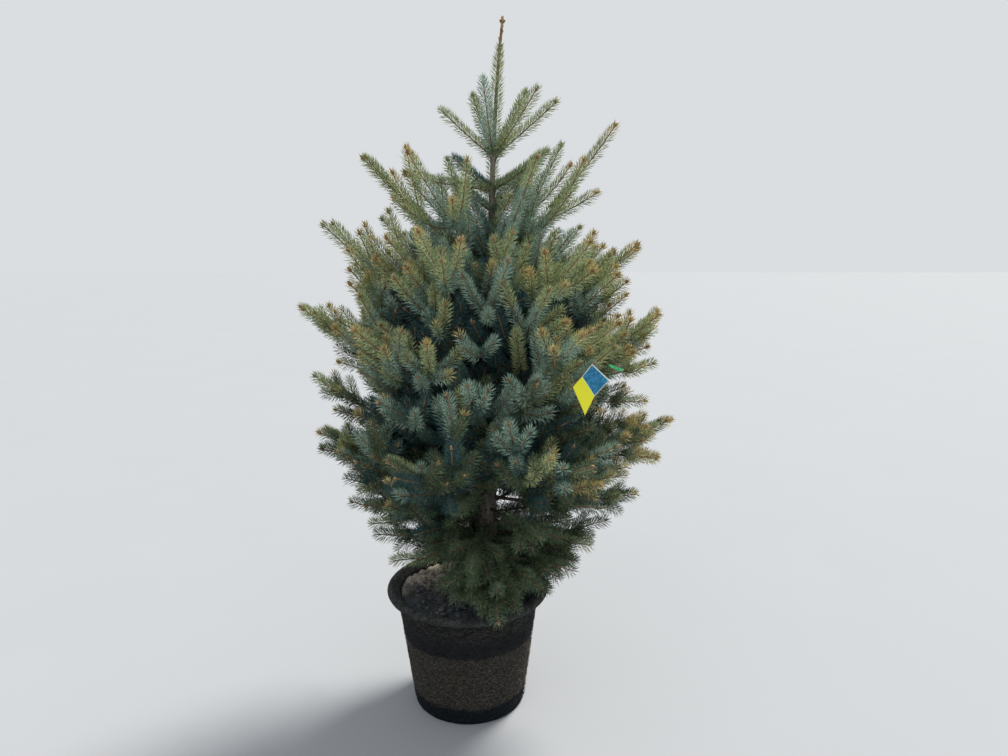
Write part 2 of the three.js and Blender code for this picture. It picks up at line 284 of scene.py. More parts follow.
@dataclass
class Tubes:
    """Closed tubes along centre lines: ring j of a tube stands square to its line at point j."""

    centre: Array
    radius: Array
    sides: int

    def surface(self) -> tuple[Array, Array]:
        """Rings round every line, joined by quads split in two, with a point closing each end.

        Returns:
            Points (n, 3) and triangles (m, 3).
        """
        count, rings, _ = self.centre.shape
        tangent = unit(np.gradient(self.centre, axis=1))
        side, upper = square_to(tangent)
        angle = np.arange(self.sides) * 2 * math.pi / self.sides
        radius = self.radius if self.radius.ndim == 3 else self.radius[..., None]
        across = radius * np.cos(angle)
        along = radius * np.sin(angle)
        shell = (self.centre[:, :, None]
                 + across[..., None] * side[:, :, None]
                 + along[..., None] * upper[:, :, None])
        tail = self.centre[:, 0] - tangent[:, 0] * radius[:, 0, :1] * 0.3
        tip = self.centre[:, -1] + tangent[:, -1] * radius[:, -1, :1] * 0.6
        points = np.concatenate(
            [shell.reshape(count, -1, 3), tail[:, None], tip[:, None]], axis=1)
        first = np.arange(count) * points.shape[1]
        faces = ring_faces(rings, self.sides) + first[:, None, None]
        return points.reshape(-1, 3), faces.reshape(-1, 3)


def revolved(profile: Array) -> tuple[Array, Array]:
    """A closed shell from profiles of radius and height whose two ends lie on the axis.

    Args:
        profile: The profile at each step round the axis, (turns, k, 2).

    Returns:
        Points (n, 3), one step's after another's with the two poles last, and triangles (m, 3).
    """
    turns = len(profile)
    angle = np.arange(turns)[:, None] * 2 * math.pi / turns
    ring = profile[:, 1:-1]
    points = polar(ring[..., 0], angle, ring[..., 1]).reshape(-1, 3)
    poles = np.array([[0, 0, profile[:, 0, 1].mean()], [0, 0, profile[:, -1, 1].mean()]])
    size = len(points)
    number = np.append(np.arange(size).reshape(turns, -1).T, [size, size + 1])
    faces = number[ring_faces(ring.shape[1], turns)][:, [0, 2, 1]]
    return np.concatenate([points, poles]), faces


# Finishes


class Shader:
    """One material's node tree, with short calls to add and join nodes."""

    def __init__(self, name: str) -> None:
        """Starts a material that holds one Principled shader.

        Args:
            name: The material's name.
        """
        self.material = bpy.data.materials.new(name)
        self.material.use_nodes = True
        self.nodes = self.material.node_tree.nodes
        self.links = self.material.node_tree.links
        self.surface = self.nodes["Principled BSDF"]
        self.place = self.nodes.new("ShaderNodeTexCoord").outputs["Object"]

    def noise(self, scale: float, detail: float = 3.0, stretch: tuple = (1, 1, 1)) -> Socket:
        """Noise on Object coordinates.

        Args:
            scale: Cells in a metre.
            detail: Octaves.
            stretch: Scale of each axis, for streaks.

        Returns:
            The noise's Factor socket.
        """
        mapping = self.nodes.new("ShaderNodeMapping")
        mapping.inputs["Scale"].default_value = stretch
        self.links.new(self.place, mapping.inputs["Vector"])
        texture = self.nodes.new("ShaderNodeTexNoise")
        texture.inputs["Scale"].default_value = scale
        texture.inputs["Detail"].default_value = detail
        self.links.new(mapping.outputs["Vector"], texture.inputs["Vector"])
        return texture.outputs[0]

    def attribute(self, name: str) -> Socket:
        """The number that a mesh's points carry under a name."""
        node = self.nodes.new("ShaderNodeAttribute")
        node.attribute_name = name
        return node.outputs["Fac"]

    def ramp(self, value: Socket, stops: list[tuple[float, tuple]]) -> Socket:
        """A colour for each value.

        Args:
            value: The socket that chooses.
            stops: Places from 0 to 1 with their colours.

        Returns:
            The colour socket.
        """
        node = self.nodes.new("ShaderNodeValToRGB")
        node.color_ramp.elements[0].position = stops[0][0]
        node.color_ramp.elements[0].color = (*stops[0][1], 1)
        node.color_ramp.elements[1].position = stops[-1][0]
        node.color_ramp.elements[1].color = (*stops[-1][1], 1)
        for place, colour in stops[1:-1]:
            node.color_ramp.elements.new(place).color = (*colour, 1)
        self.links.new(value, node.inputs["Fac"])
        return node.outputs["Color"]

    def mix(self, share: Socket, first: Socket | tuple, second: Socket | tuple) -> Socket:
        """Two colours mixed by a share.

        Args:
            share: The socket that says how much of the second colour shows.
            first: A colour socket, or a colour.
            second: A colour socket, or a colour.

        Returns:
            The colour socket.
        """
        node = self.nodes.new("ShaderNodeMix")
        node.data_type = "RGBA"
        self.links.new(share, node.inputs[0])
        for value, socket in ((first, node.inputs[6]), (second, node.inputs[7])):
            if isinstance(value, tuple):
                socket.default_value = (*value, 1)
            else:
                self.links.new(value, socket)
        return node.outputs[2]

    def mathematics(self, operation: str, first: Socket | float,
                    second: Socket | float) -> Socket:
        """One sum on sockets or numbers.

        Args:
            operation: Blender's name of it, such as MULTIPLY.
            first: A socket or a number.
            second: A socket or a number.

        Returns:
            The value socket.
        """
        node = self.nodes.new("ShaderNodeMath")
        node.operation = operation
        for index, value in enumerate((first, second)):
            if isinstance(value, (int, float)):
                node.inputs[index].default_value = value
            else:
                self.links.new(value, node.inputs[index])
        return node.outputs[0]

    def height(self) -> Socket:
        """How high a point is, in metres."""
        node = self.nodes.new("ShaderNodeSeparateXYZ")
        self.links.new(self.place, node.inputs[0])
        return node.outputs["Z"]

    def colour(self, socket: Socket) -> None:
        """Sends a colour to the surface."""
        self.links.new(socket, self.surface.inputs["Base Color"])

    def bump(self, value: Socket, depth: float, strength: float = 1.0) -> None:
        """Raises the surface by a value times a depth in metres.

        Args:
            value: The height socket.
            depth: Metres for a value of 1.
            strength: How much of it shows.
        """
        node = self.nodes.new("ShaderNodeBump")
        node.inputs["Distance"].default_value = depth
        node.inputs["Strength"].default_value = strength
        self.links.new(value, node.inputs["Height"])
        self.links.new(node.outputs["Normal"], self.surface.inputs["Normal"])

    def gloss(self, roughness: float, specular: float = 0.5) -> None:
        """Sets how rough and how bright the highlights are."""
        self.surface.inputs["Roughness"].default_value = roughness
        self.surface.inputs["Specular IOR Level"].default_value = specular


class Finish:
    """A finish makes its material once and hands the same one out again."""

    made: dict = {}

    def material(self) -> bpy.types.Material:
        """The finish's material, made at the first call."""
        if self not in Finish.made:
            Finish.made[self] = self.dress()
        return Finish.made[self]

    def dress(self) -> bpy.types.Material:
        """Makes the material."""
        raise NotImplementedError


@dataclass(frozen=True)
class NeedleFinish(Finish):
    """Waxy needles of one tone, paler where the bloom is thick."""

    tone: NeedleTone
    dark: tuple
    middle: tuple
    pale: tuple

    def dress(self) -> bpy.types.Material:
        """Three shades of one colour by fine noise, over a coat of soft wax."""
        shader = Shader(self.tone.value)
        stops = [(0.34, self.dark), (0.5, self.middle), (0.67, self.pale)]
        shader.colour(shader.ramp(shader.noise(110.0, 3.0), stops))
        shader.gloss(0.50, 0.35)
        return shader.material


@dataclass(frozen=True)
class TwigFinish(Finish):
    """Twig bark: grooved between the leaf pegs, in one range of browns."""

    name: str
    dark: tuple
    middle: tuple
    pale: tuple

    def dress(self) -> bpy.types.Material:
        """Blotches of the three browns, with a fine grain raised across them."""
        shader = Shader(self.name)
        stops = [(0.32, self.dark), (0.5, self.middle), (0.7, self.pale)]
        shader.colour(shader.ramp(shader.noise(120.0, 4.0), stops))
        shader.bump(shader.noise(900.0, 2.0), 0.0006, 0.7)
        shader.gloss(0.68, 0.3)
        return shader.material


@dataclass(frozen=True)
class BarkFinish(Finish):
    """Scaly bark: plates in grey and red brown, with dark cracks where the mesh is low."""

    name: str
    crack: tuple
    plate: tuple
    worn: tuple

    def dress(self) -> bpy.types.Material:
        """Plate colours by stretched noise, darkened by the relief that the mesh carries."""
        shader = Shader(self.name)
        patch = shader.noise(70.0, 5.0, (1.0, 1.0, 0.3))
        plates = shader.ramp(patch, [(0.3, self.plate), (0.68, self.worn)])
        relief = shader.ramp(shader.attribute("relief"), [(0.12, BLACK), (0.5, WHITE)])
        shader.colour(shader.mix(relief, self.crack, plates))
        shader.bump(shader.noise(420.0, 4.0, (1.0, 1.0, 0.35)), 0.0012, 0.8)
        shader.gloss(0.85, 0.2)
        return shader.material


@dataclass(frozen=True)
class FibreFinish(Finish):
    """Moulded fibre: speckled brown strands, with a darker, bluer band under the rim and at the
    foot. All its colours are darker and bluer than the brown fibre itself: painted shade.
    """

    # Painted shade: these colours are darker and bluer than the brown fibre. The first four make the
    # band under the rim and the band at the foot.
    wet: tuple = (0.0060, 0.0066, 0.0072)
    damp: tuple = (0.017, 0.019, 0.021)
    foot_wet: tuple = (0.0022, 0.0042, 0.0064)
    foot: tuple = (0.0075, 0.0130, 0.0185)
    dry_dark: tuple = (0.0090, 0.0090, 0.0085)
    dry: tuple = (0.029, 0.028, 0.026)
    dry_pale: tuple = (0.105, 0.095, 0.078)
    rim: tuple = (0.052, 0.056, 0.053)
    rim_dark: tuple = (0.013, 0.015, 0.016)
    damp_low: float = 0.248
    foot_high: float = 0.058

    def dress(self) -> bpy.types.Material:
        """Streaks and specks make the strands; the height, made ragged by noise, makes the bands."""
        shader = Shader("moulded_fibre")
        streak = shader.noise(95.0, 5.0, (1.0, 1.0, 3.6))
        stops = [(0.43, self.dry_dark), (0.51, self.dry), (0.62, self.dry_pale)]
        strands = shader.ramp(streak, stops)
        speck = shader.noise(190.0, 4.0, (1.0, 1.0, 1.8))
        stops = [(0.43, self.dry_dark), (0.53, self.dry), (0.64, self.dry_pale)]
        body = shader.mix(shader.noise(60.0, 3.0), strands, shader.ramp(speck, stops))
        # Painted shade: a darker, bluer band on the upper wall that pales towards the rim, and
        # another at the foot.
        damp = shader.ramp(speck, [(0.4, self.wet), (0.62, self.damp)])
        band_fade = shader.ramp(shader.height(), [(0.285, BLACK), (0.35, (0.55, 0.55, 0.55))])
        damp = shader.mix(band_fade, damp, strands)
        ragged = shader.mathematics("MULTIPLY", shader.noise(14.0, 5.0), 0.03)
        level = shader.mathematics("ADD", shader.height(), ragged)
        level = shader.mathematics("SUBTRACT", level, 0.015)
        low = self.damp_low
        rises = shader.ramp(level, [(low - 0.004, BLACK), (low + 0.006, WHITE)])
        body = shader.mix(rises, body, damp)
        foot = self.foot_high
        sinks = shader.ramp(level, [(foot - 0.006, WHITE), (foot + 0.008, BLACK)])
        foot_band = shader.ramp(speck, [(0.4, self.foot_wet), (0.66, self.foot)])
        body = shader.mix(sinks, body, foot_band)
        lip = shader.mathematics("ADD", shader.noise(70.0, 5.0), speck)
        lip = shader.mathematics("MULTIPLY", lip, 0.5)
        lip = shader.ramp(lip, [(0.41, self.rim_dark), (0.58, self.rim)])
        shader.colour(shader.mix(shader.attribute("lip"), body, lip))
        shader.bump(shader.mathematics("ADD", streak, speck), 0.0022, 0.9)
        shader.gloss(0.92, 0.15)
        return shader.material


@dataclass(frozen=True)
class EarthFinish(Finish):
    """Potting soil or its clods: dark, and blue-grey as painted shade, with pale crumbs and a pale
    patch of painted sunlight.
    """

    name: str
    moist: tuple
    dry: tuple
    pale: tuple
    scale: float = 90.0

    def dress(self) -> bpy.types.Material:
        """A pale patch of painted sunlight by the number that the mesh carries, crumbs by fine
        noise.
        """
        shader = Shader(self.name)
        crumbs = shader.noise(self.scale * 4, 5.0)
        wet = shader.ramp(crumbs, [(0.35, self.moist), (0.68, self.dry)])
        in_sun = shader.ramp(crumbs, [(0.36, self.dry), (0.6, self.pale)])
        shader.colour(shader.mix(shader.attribute("dryness"), wet, in_sun))
        shader.bump(crumbs, 0.004, 0.9)
        shader.gloss(0.95, 0.12)
        return shader.material


@dataclass(frozen=True)
class CardFinish(Finish):
    """Printed plastic card: a plain field inside a white edge and a plain lower field."""

    upper: tuple = (0.010, 0.135, 0.28)
    upper_pale: tuple = (0.036, 0.265, 0.46)
    lower: tuple = (0.86, 0.83, 0.030)
    edge: tuple = (0.80, 0.83, 0.84)

    def dress(self) -> bpy.types.Material:
        """The zone that each point carries picks its ink; faint creases catch the light."""
        shader = Shader("printed_card")
        ink = shader.ramp(shader.noise(130.0, 4.0), [(0.38, self.upper), (0.66, self.upper_pale)])
        blue, yellow = (shader.ramp(shader.attribute(zone), [(0.45, BLACK), (0.55, WHITE)])
                        for zone in ("blue", "yellow"))
        field_colour = shader.mix(blue, self.edge, ink)
        shader.colour(shader.mix(yellow, field_colour, self.lower))
        shader.bump(shader.noise(25.0, 2.0), 0.001, 0.4)
        shader.gloss(0.42, 0.3)
        return shader.material


@dataclass(frozen=True)
class PlainPlasticFinish(Finish):
    """Soft moulded plastic in one colour, faintly mottled and scuffed."""

    name: str
    dark: tuple
    pale: tuple

    def dress(self) -> bpy.types.Material:
        """Two near shades by noise and a fine moulded grain."""
        shader = Shader(self.name)
        shader.colour(shader.ramp(shader.noise(160.0), [(0.35, self.dark), (0.65, self.pale)]))
        shader.bump(shader.noise(1400.0, 2.0), 0.0002, 0.5)
        shader.gloss(0.42, 0.5)
        return shader.material


# Painted light: olive, silver and gold are sunlit copies of the needle colour, deep and moss shaded
# ones; age also makes needles deep.
NEEDLE_FINISHES = {tone: NeedleFinish(tone, *shades) for tone, shades in {
    NeedleTone.DEEP: ((0.012, 0.040, 0.043), (0.027, 0.078, 0.076), (0.055, 0.128, 0.114)),
    NeedleTone.BLUE: ((0.037, 0.079, 0.072), (0.077, 0.152, 0.132), (0.150, 0.256, 0.212)),
    NeedleTone.SILVER: ((0.118, 0.184, 0.132), (0.236, 0.348, 0.270), (0.44, 0.580, 0.465)),
    NeedleTone.OLIVE: ((0.126, 0.168, 0.082), (0.300, 0.356, 0.170), (0.56, 0.605, 0.310)),
    NeedleTone.GOLD: ((0.225, 0.190, 0.070), (0.45, 0.380, 0.145), (0.72, 0.62, 0.28)),
    NeedleTone.MOSS: ((0.031, 0.053, 0.033), (0.074, 0.116, 0.064), (0.205, 0.262, 0.128)),
}.items()}
YOUNG_TWIG = TwigFinish(
    "young_twig", (0.104, 0.062, 0.032), (0.222, 0.138, 0.070), (0.39, 0.258, 0.138))
OLD_TWIG = TwigFinish(
    "old_twig", (0.030, 0.024, 0.018), (0.064, 0.050, 0.038), (0.12, 0.096, 0.075))
BUD_SCALE = TwigFinish(
    "bud_scales", (0.14, 0.084, 0.041), (0.30, 0.186, 0.093), (0.55, 0.385, 0.205))
# Painted light: the trunk's colours are lighter than the boughs', as the trunk stands in the crown's
# shade.
TRUNK_BARK = BarkFinish(
    "trunk_bark", (0.016, 0.014, 0.013), (0.094, 0.082, 0.070), (0.27, 0.240, 0.205))
BOUGH_BARK = BarkFinish(
    "bough_bark", (0.018, 0.014, 0.011), (0.060, 0.046, 0.036), (0.13, 0.104, 0.082))


# Growth


@dataclass
class Limbs:
    """Limbs as arrays: the point at share t is start + reach t + curve t2."""

    start: Array
    reach: Array
    curve: Array
    years: Array
    order: Array
    band: Array

    def point(self, share: Array | float) -> Array:
        """Places on the limbs at a share of each one's length."""
        t = np.asarray(share, float)[..., None]
        return self.start + self.reach * t + self.curve * t * t

    def line(self, share: Array) -> Array:
        """Places at several shares of each limb, (n, k, 3).

        Args:
            share: Shares for all limbs alike, (k,), or for each limb, (n, k).
        """
        t = share[..., None]
        return self.start[:, None] + self.reach[:, None] * t + self.curve[:, None] * t * t

    def tangent(self, share: Array | float) -> Array:
        """Unit directions of the limbs at a share of each one's length."""
        t = np.asarray(share, float)[..., None]
        return unit(self.reach + 2 * self.curve * t)

    def length(self) -> Array:
        """Each limb's length, by four chords."""
        steps = [self.point(k / 4) for k in range(5)]
        return sum(np.linalg.norm(b - a, axis=1) for a, b in zip(steps, steps[1:]))

    def take(self, chosen: Array) -> "Limbs":
        """The limbs that a mask or list of numbers chooses."""
        return Limbs(*(getattr(self, f.name)[chosen] for f in fields(self)))

    @staticmethod
    def joined(groups: list["Limbs"]) -> "Limbs":
        """Several groups of limbs as one."""
        return Limbs(*(np.concatenate([getattr(g, f.name) for g in groups])
                       for f in fields(Limbs)))


@dataclass(frozen=True)
class Tier:
    """A storey of boughs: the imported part's own sizes, in metres and degrees."""

    name: str
    band: CrownBand
    height: float
    count: int
    turn: float
    wander: float
    reach: float
    shift: float
    rise: float
    lift: float
    droop: float
    bend: float
    years: int
    shoots: tuple = ()

    def sizes(self, k: int, seed: int) -> tuple[float, float, float]:
        """Bough k's own sizes: its shoot's where it has one, else by the storey's rule.

        Args:
            k: The bough's number.
            seed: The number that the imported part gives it.

        Returns:
            Turn in radians, reach and rise.
        """
        if self.shoots:
            turn, reach, rise = self.shoots[k]
            return math.radians(turn), reach, rise
        azimuth = math.radians(self.turn + 360 * k / self.count + self.wander * sway(seed, 1))
        c, s = math.cos(azimuth), math.sin(azimuth)
        reach = (self.reach + self.shift * c) * (1 + 0.03 * sway(seed, 2))
        return azimuth, reach, self.rise + self.lift * c + self.droop * min(0.0, s)


TOP_SHOOTS = ((5, .190, .162), (55, .178, .214), (113, .170, .204),
              (175, .158, .138), (258, .130, .200), (318, .170, .176))
SECOND_SHOOTS = ((348, .172, .108), (40, .202, .100), (140, .150, .104), (222, .140, .012))
TIERS = (
    Tier("top_whorl", CrownBand.TOP, 1.789, 6, 0, 0, 0, 0, 0, 0, 0, .1, 1, TOP_SHOOTS),
    Tier("second_whorl", CrownBand.TOP, 1.689, 4, 0, 0, 0, 0, 0, 0, 0, .15, 1, SECOND_SHOOTS),
    Tier("upper_tier", CrownBand.UPPER, 1.440, 6, -5, 4, .380, -.004, .392, .044, 0, .25, 2),
    Tier("shoulder_tier", CrownBand.SHOULDER, 1.2, 6, 8, 4, .486, -.012, .356, -.03, 0, .25, 3),
    Tier("middle_tier", CrownBand.MIDDLE, .970, 6, -6, 4, .562, -.032, .352, -.006, .01, .25, 4),
    Tier("lower_tier", CrownBand.LOWER, .740, 6, 3, 4, .560, .022, .208, .02, 0, .2, 4),
    Tier("skirt_tier", CrownBand.SKIRT, .552, 4, -84, 6, .345, -.018, .032, -.04, .138, 0, 3),
)
BAND_ORDER = list(CrownBand)
UPPER_BAND = BAND_ORDER.index(CrownBand.UPPER)
# Visible boughs that end sooner than their packed mass: the share of its line that they keep
ENDS_SOONER = {("upper_tier", 4): 0.93, ("upper_tier", 5): 0.82}
# Side limbs at a year's end: degrees about the parent, share of its length, odds
WHORL = ((14, 1.0, 1.0), (166, 1.0, 1.0), (-38, 0.82, 0.75), (218, 0.82, 0.75), (88, 0.60, 0.45))
# Shoots on the trunk itself: height of the root and place of the tip
TRUNK_SHOOTS = (
    (1.690, (-0.030, -0.050, 1.782)), (1.632, (-0.021, -0.070, 1.705)),
    (1.690, (0.249, -0.050, 1.802)), (1.618, (0.190, -0.110, 1.690)),
    (1.640, (0.180, 0.120, 1.740)), (1.625, (-0.030, 0.110, 1.730)),
    (1.575, (0.010, -0.120, 1.660)), (1.560, (0.140, -0.120, 1.668)),
)


# Tips that show against the sky or in front of the crown
OUTLINE_TIPS = {
    "left_far_point": (-0.509, 0.0, 1.328),
    "left_high_needle": (-0.405, 0.0, 1.590),
    "left_inner_step": (-0.338, -0.10, 1.454),
    "left_front_plume": (-0.243, -0.15, 1.477),
    "left_rear_plume": (-0.245, 0.05, 1.535),
    "left_top_point": (-0.296, 0.0, 1.786),
    "left_top_second": (-0.175, 0.0, 1.816),
    "left_top_third": (-0.165, -0.10, 1.729),
    "left_top_short": (-0.067, -0.05, 1.727),
    "front_golden": (-0.048, -0.25, 1.538),
    "front_right_golden": (0.070, -0.30, 1.463),
    "right_top_inner": (0.236, -0.05, 1.733),
    "right_top_fork": (0.412, 0.05, 1.686),
    "right_shoulder_front": (0.266, -0.20, 1.565),
    "right_upper_brush": (0.457, -0.10, 1.463),
    "right_upper_step": (0.513, 0.05, 1.410),
    "right_faint_point": (0.552, 0.10, 1.512),
    "right_far_point": (0.603, 0.0, 1.322),
    "right_lower_brush": (0.480, -0.15, 1.268),
    "right_middle_brush": (0.566, -0.05, 1.215),
    "right_middle_point": (0.608, 0.05, 1.146),
    "right_rear_plume": (0.415, 0.10, 1.519),
    "front_left_sprig": (-0.035, -0.35, 1.376),
    "front_centre_sprig": (0.043, -0.42, 1.319),
    "front_right_sprig": (0.181, -0.42, 1.288),
    "front_label_sprig": (0.251, -0.40, 1.231),
    "front_standing_shoot": (0.028, -0.49, 1.179),
    "front_standing_twin": (-0.025, -0.47, 1.148),
    "front_low_right": (0.098, -0.42, 1.189),
    "front_right_star": (0.209, -0.46, 1.189),
    "front_chest_shoot": (0.134, -0.50, 1.082),
    "front_right_fan": (0.243, -0.49, 0.984),
    "left_middle_point": (-0.496, 0.05, 1.104),
    "left_lower_point": (-0.454, 0.0, 0.934),
    "left_low_second": (-0.459, -0.05, 0.886),
    "front_left_upright": (-0.015, -0.49, 1.016),
    "right_low_point": (0.648, 0.0, 0.966),
    "right_low_second": (0.628, 0.05, 0.824),
    "right_low_third": (0.501, -0.10, 0.816),
    "right_low_fourth": (0.553, 0.0, 0.718),
    "right_low_fifth": (0.487, 0.10, 0.633),
    "left_low_outer": (-0.471, 0.00, 0.879),
    "left_low_outer_twin": (-0.478, 0.08, 0.915),
    "left_low_front": (-0.345, -0.20, 0.902),
    "left_low_middle": (-0.386, -0.05, 0.790),
    "left_low_corner": (-0.385, 0.02, 0.683),
    "left_low_under": (-0.328, 0.06, 0.590),
    "left_low_droop": (-0.239, 0.04, 0.516),
    "left_front_low": (-0.215, -0.28, 0.853),
    "left_front_fan": (-0.252, -0.30, 1.032),
    "left_waist": (-0.432, 0.05, 0.991),
    "right_waist": (0.575, 0.00, 1.032),
    "right_waist_under": (0.589, 0.08, 0.966),
    "right_low_bright": (0.610, -0.05, 0.860),
    "right_low_out": (0.562, 0.05, 0.701),
    "right_low_mass": (0.457, -0.02, 0.636),
    "right_low_corner": (0.403, -0.05, 0.561),
    "right_hanging_outer": (0.355, -0.08, 0.522),
    "right_hanging_inner": (0.300, -0.12, 0.482),
    "right_over_rim": (0.260, -0.16, 0.458),
    "skirt_left_end": (-0.075, -0.22, 0.501),
    "skirt_left_upright": (-0.017, -0.20, 0.570),
    "skirt_centre": (0.028, -0.32, 0.560),
    "skirt_right_upright": (0.104, -0.33, 0.545),
    "skirt_star_left": (-0.026, -0.26, 0.475),
    "skirt_star_low": (0.050, -0.30, 0.486),
    "skirt_right_fan": (0.203, -0.25, 0.544),
    "skirt_hanging": (0.118, -0.30, 0.425),
    "skirt_hanging_left": (0.067, -0.28, 0.440),
    "skirt_hanging_right": (0.158, -0.26, 0.445),
    "skirt_far_right": (0.250, -0.18, 0.461),
}


@dataclass(frozen=True)
class ViewGap:
    """A hole in the crown that the camera looks into: a slot that follows its line of sight.

    The slot keeps its width in x. Its level is z plus slope times y, so it rises towards the
    camera as the line of sight does. It runs from a depth in y to another.
    """

    name: str
    middle_x: float
    half_x: float
    level: float
    half_level: float
    slope: float
    near: float
    far: float

    def holds(self, spot: Array) -> Array:
        """Which points lie in the slot."""
        level = spot[:, 2] + self.slope * spot[:, 1]
        inside = np.abs(spot[:, 0] - self.middle_x) < self.half_x
        inside &= np.abs(level - self.level) < self.half_level
        return inside & (spot[:, 1] > self.near) & (spot[:, 1] < self.far)


VIEW_GAPS = (
    ViewGap("bare_lower_trunk", 0.070, 0.066, 0.642, 0.092, 0.38, -0.7, -0.02),
    ViewGap("light_beside_trunk", 0.134, 0.056, 0.668, 0.062, 0.38, -0.7, 0.7),
    ViewGap("open_upper_trunk", 0.087, 0.022, 1.730, 0.066, 0.0, -0.7, -0.015),
    ViewGap("green_tie", 0.412, 0.042, 1.139, 0.036, 0.175, -0.7, -0.395),
    ViewGap("dark_hollow", 0.095, 0.096, 1.128, 0.021, 0.178, -0.7, -0.25),
    ViewGap("light_on_soil", -0.150, 0.088, 0.474, 0.042, 0.456, -0.7, 0.7),
    ViewGap("sky_right_of_second_whorl", 0.256, 0.044, 1.862, 0.034, -0.127, -0.7, 0.7),
    ViewGap("sky_under_right_tip", 0.306, 0.028, 1.815, 0.060, -0.109, -0.7, 0.7),
    ViewGap("sky_left_of_second_whorl", 0.012, 0.032, 1.839, 0.034, -0.118, -0.7, 0.7),
)


@dataclass
class TrunkLine:
    """The trunk's centre line and thickness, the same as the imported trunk's."""

    soil: float = 0.391
    rise: float = 1.799

    def middle(self, z: Array) -> Array:
        """Centre at a height: it drifts to the right slowly, then faster near the tip."""
        t = (np.asarray(z, float) - self.soil) / self.rise
        return np.stack([0.0645 + 0.022 * t + 0.032 * t ** 6, 0.010 * (1 - t),
                         np.asarray(z, float) + 0 * t], -1)

    def radius(self, z: Array, angle: Array) -> Array:
        """Radius at a height and angle: a taper with a lobed flare at the soil."""
        t = np.clip((np.asarray(z, float) - self.soil) / self.rise, 0, 1)
        flare = 0.012 * (1 + 0.3 * np.cos(4 * angle + 0.6)) * np.exp(-(z - self.soil) / 0.055)
        return 0.003 + 0.029 * (1 - t) ** 1.24 + flare


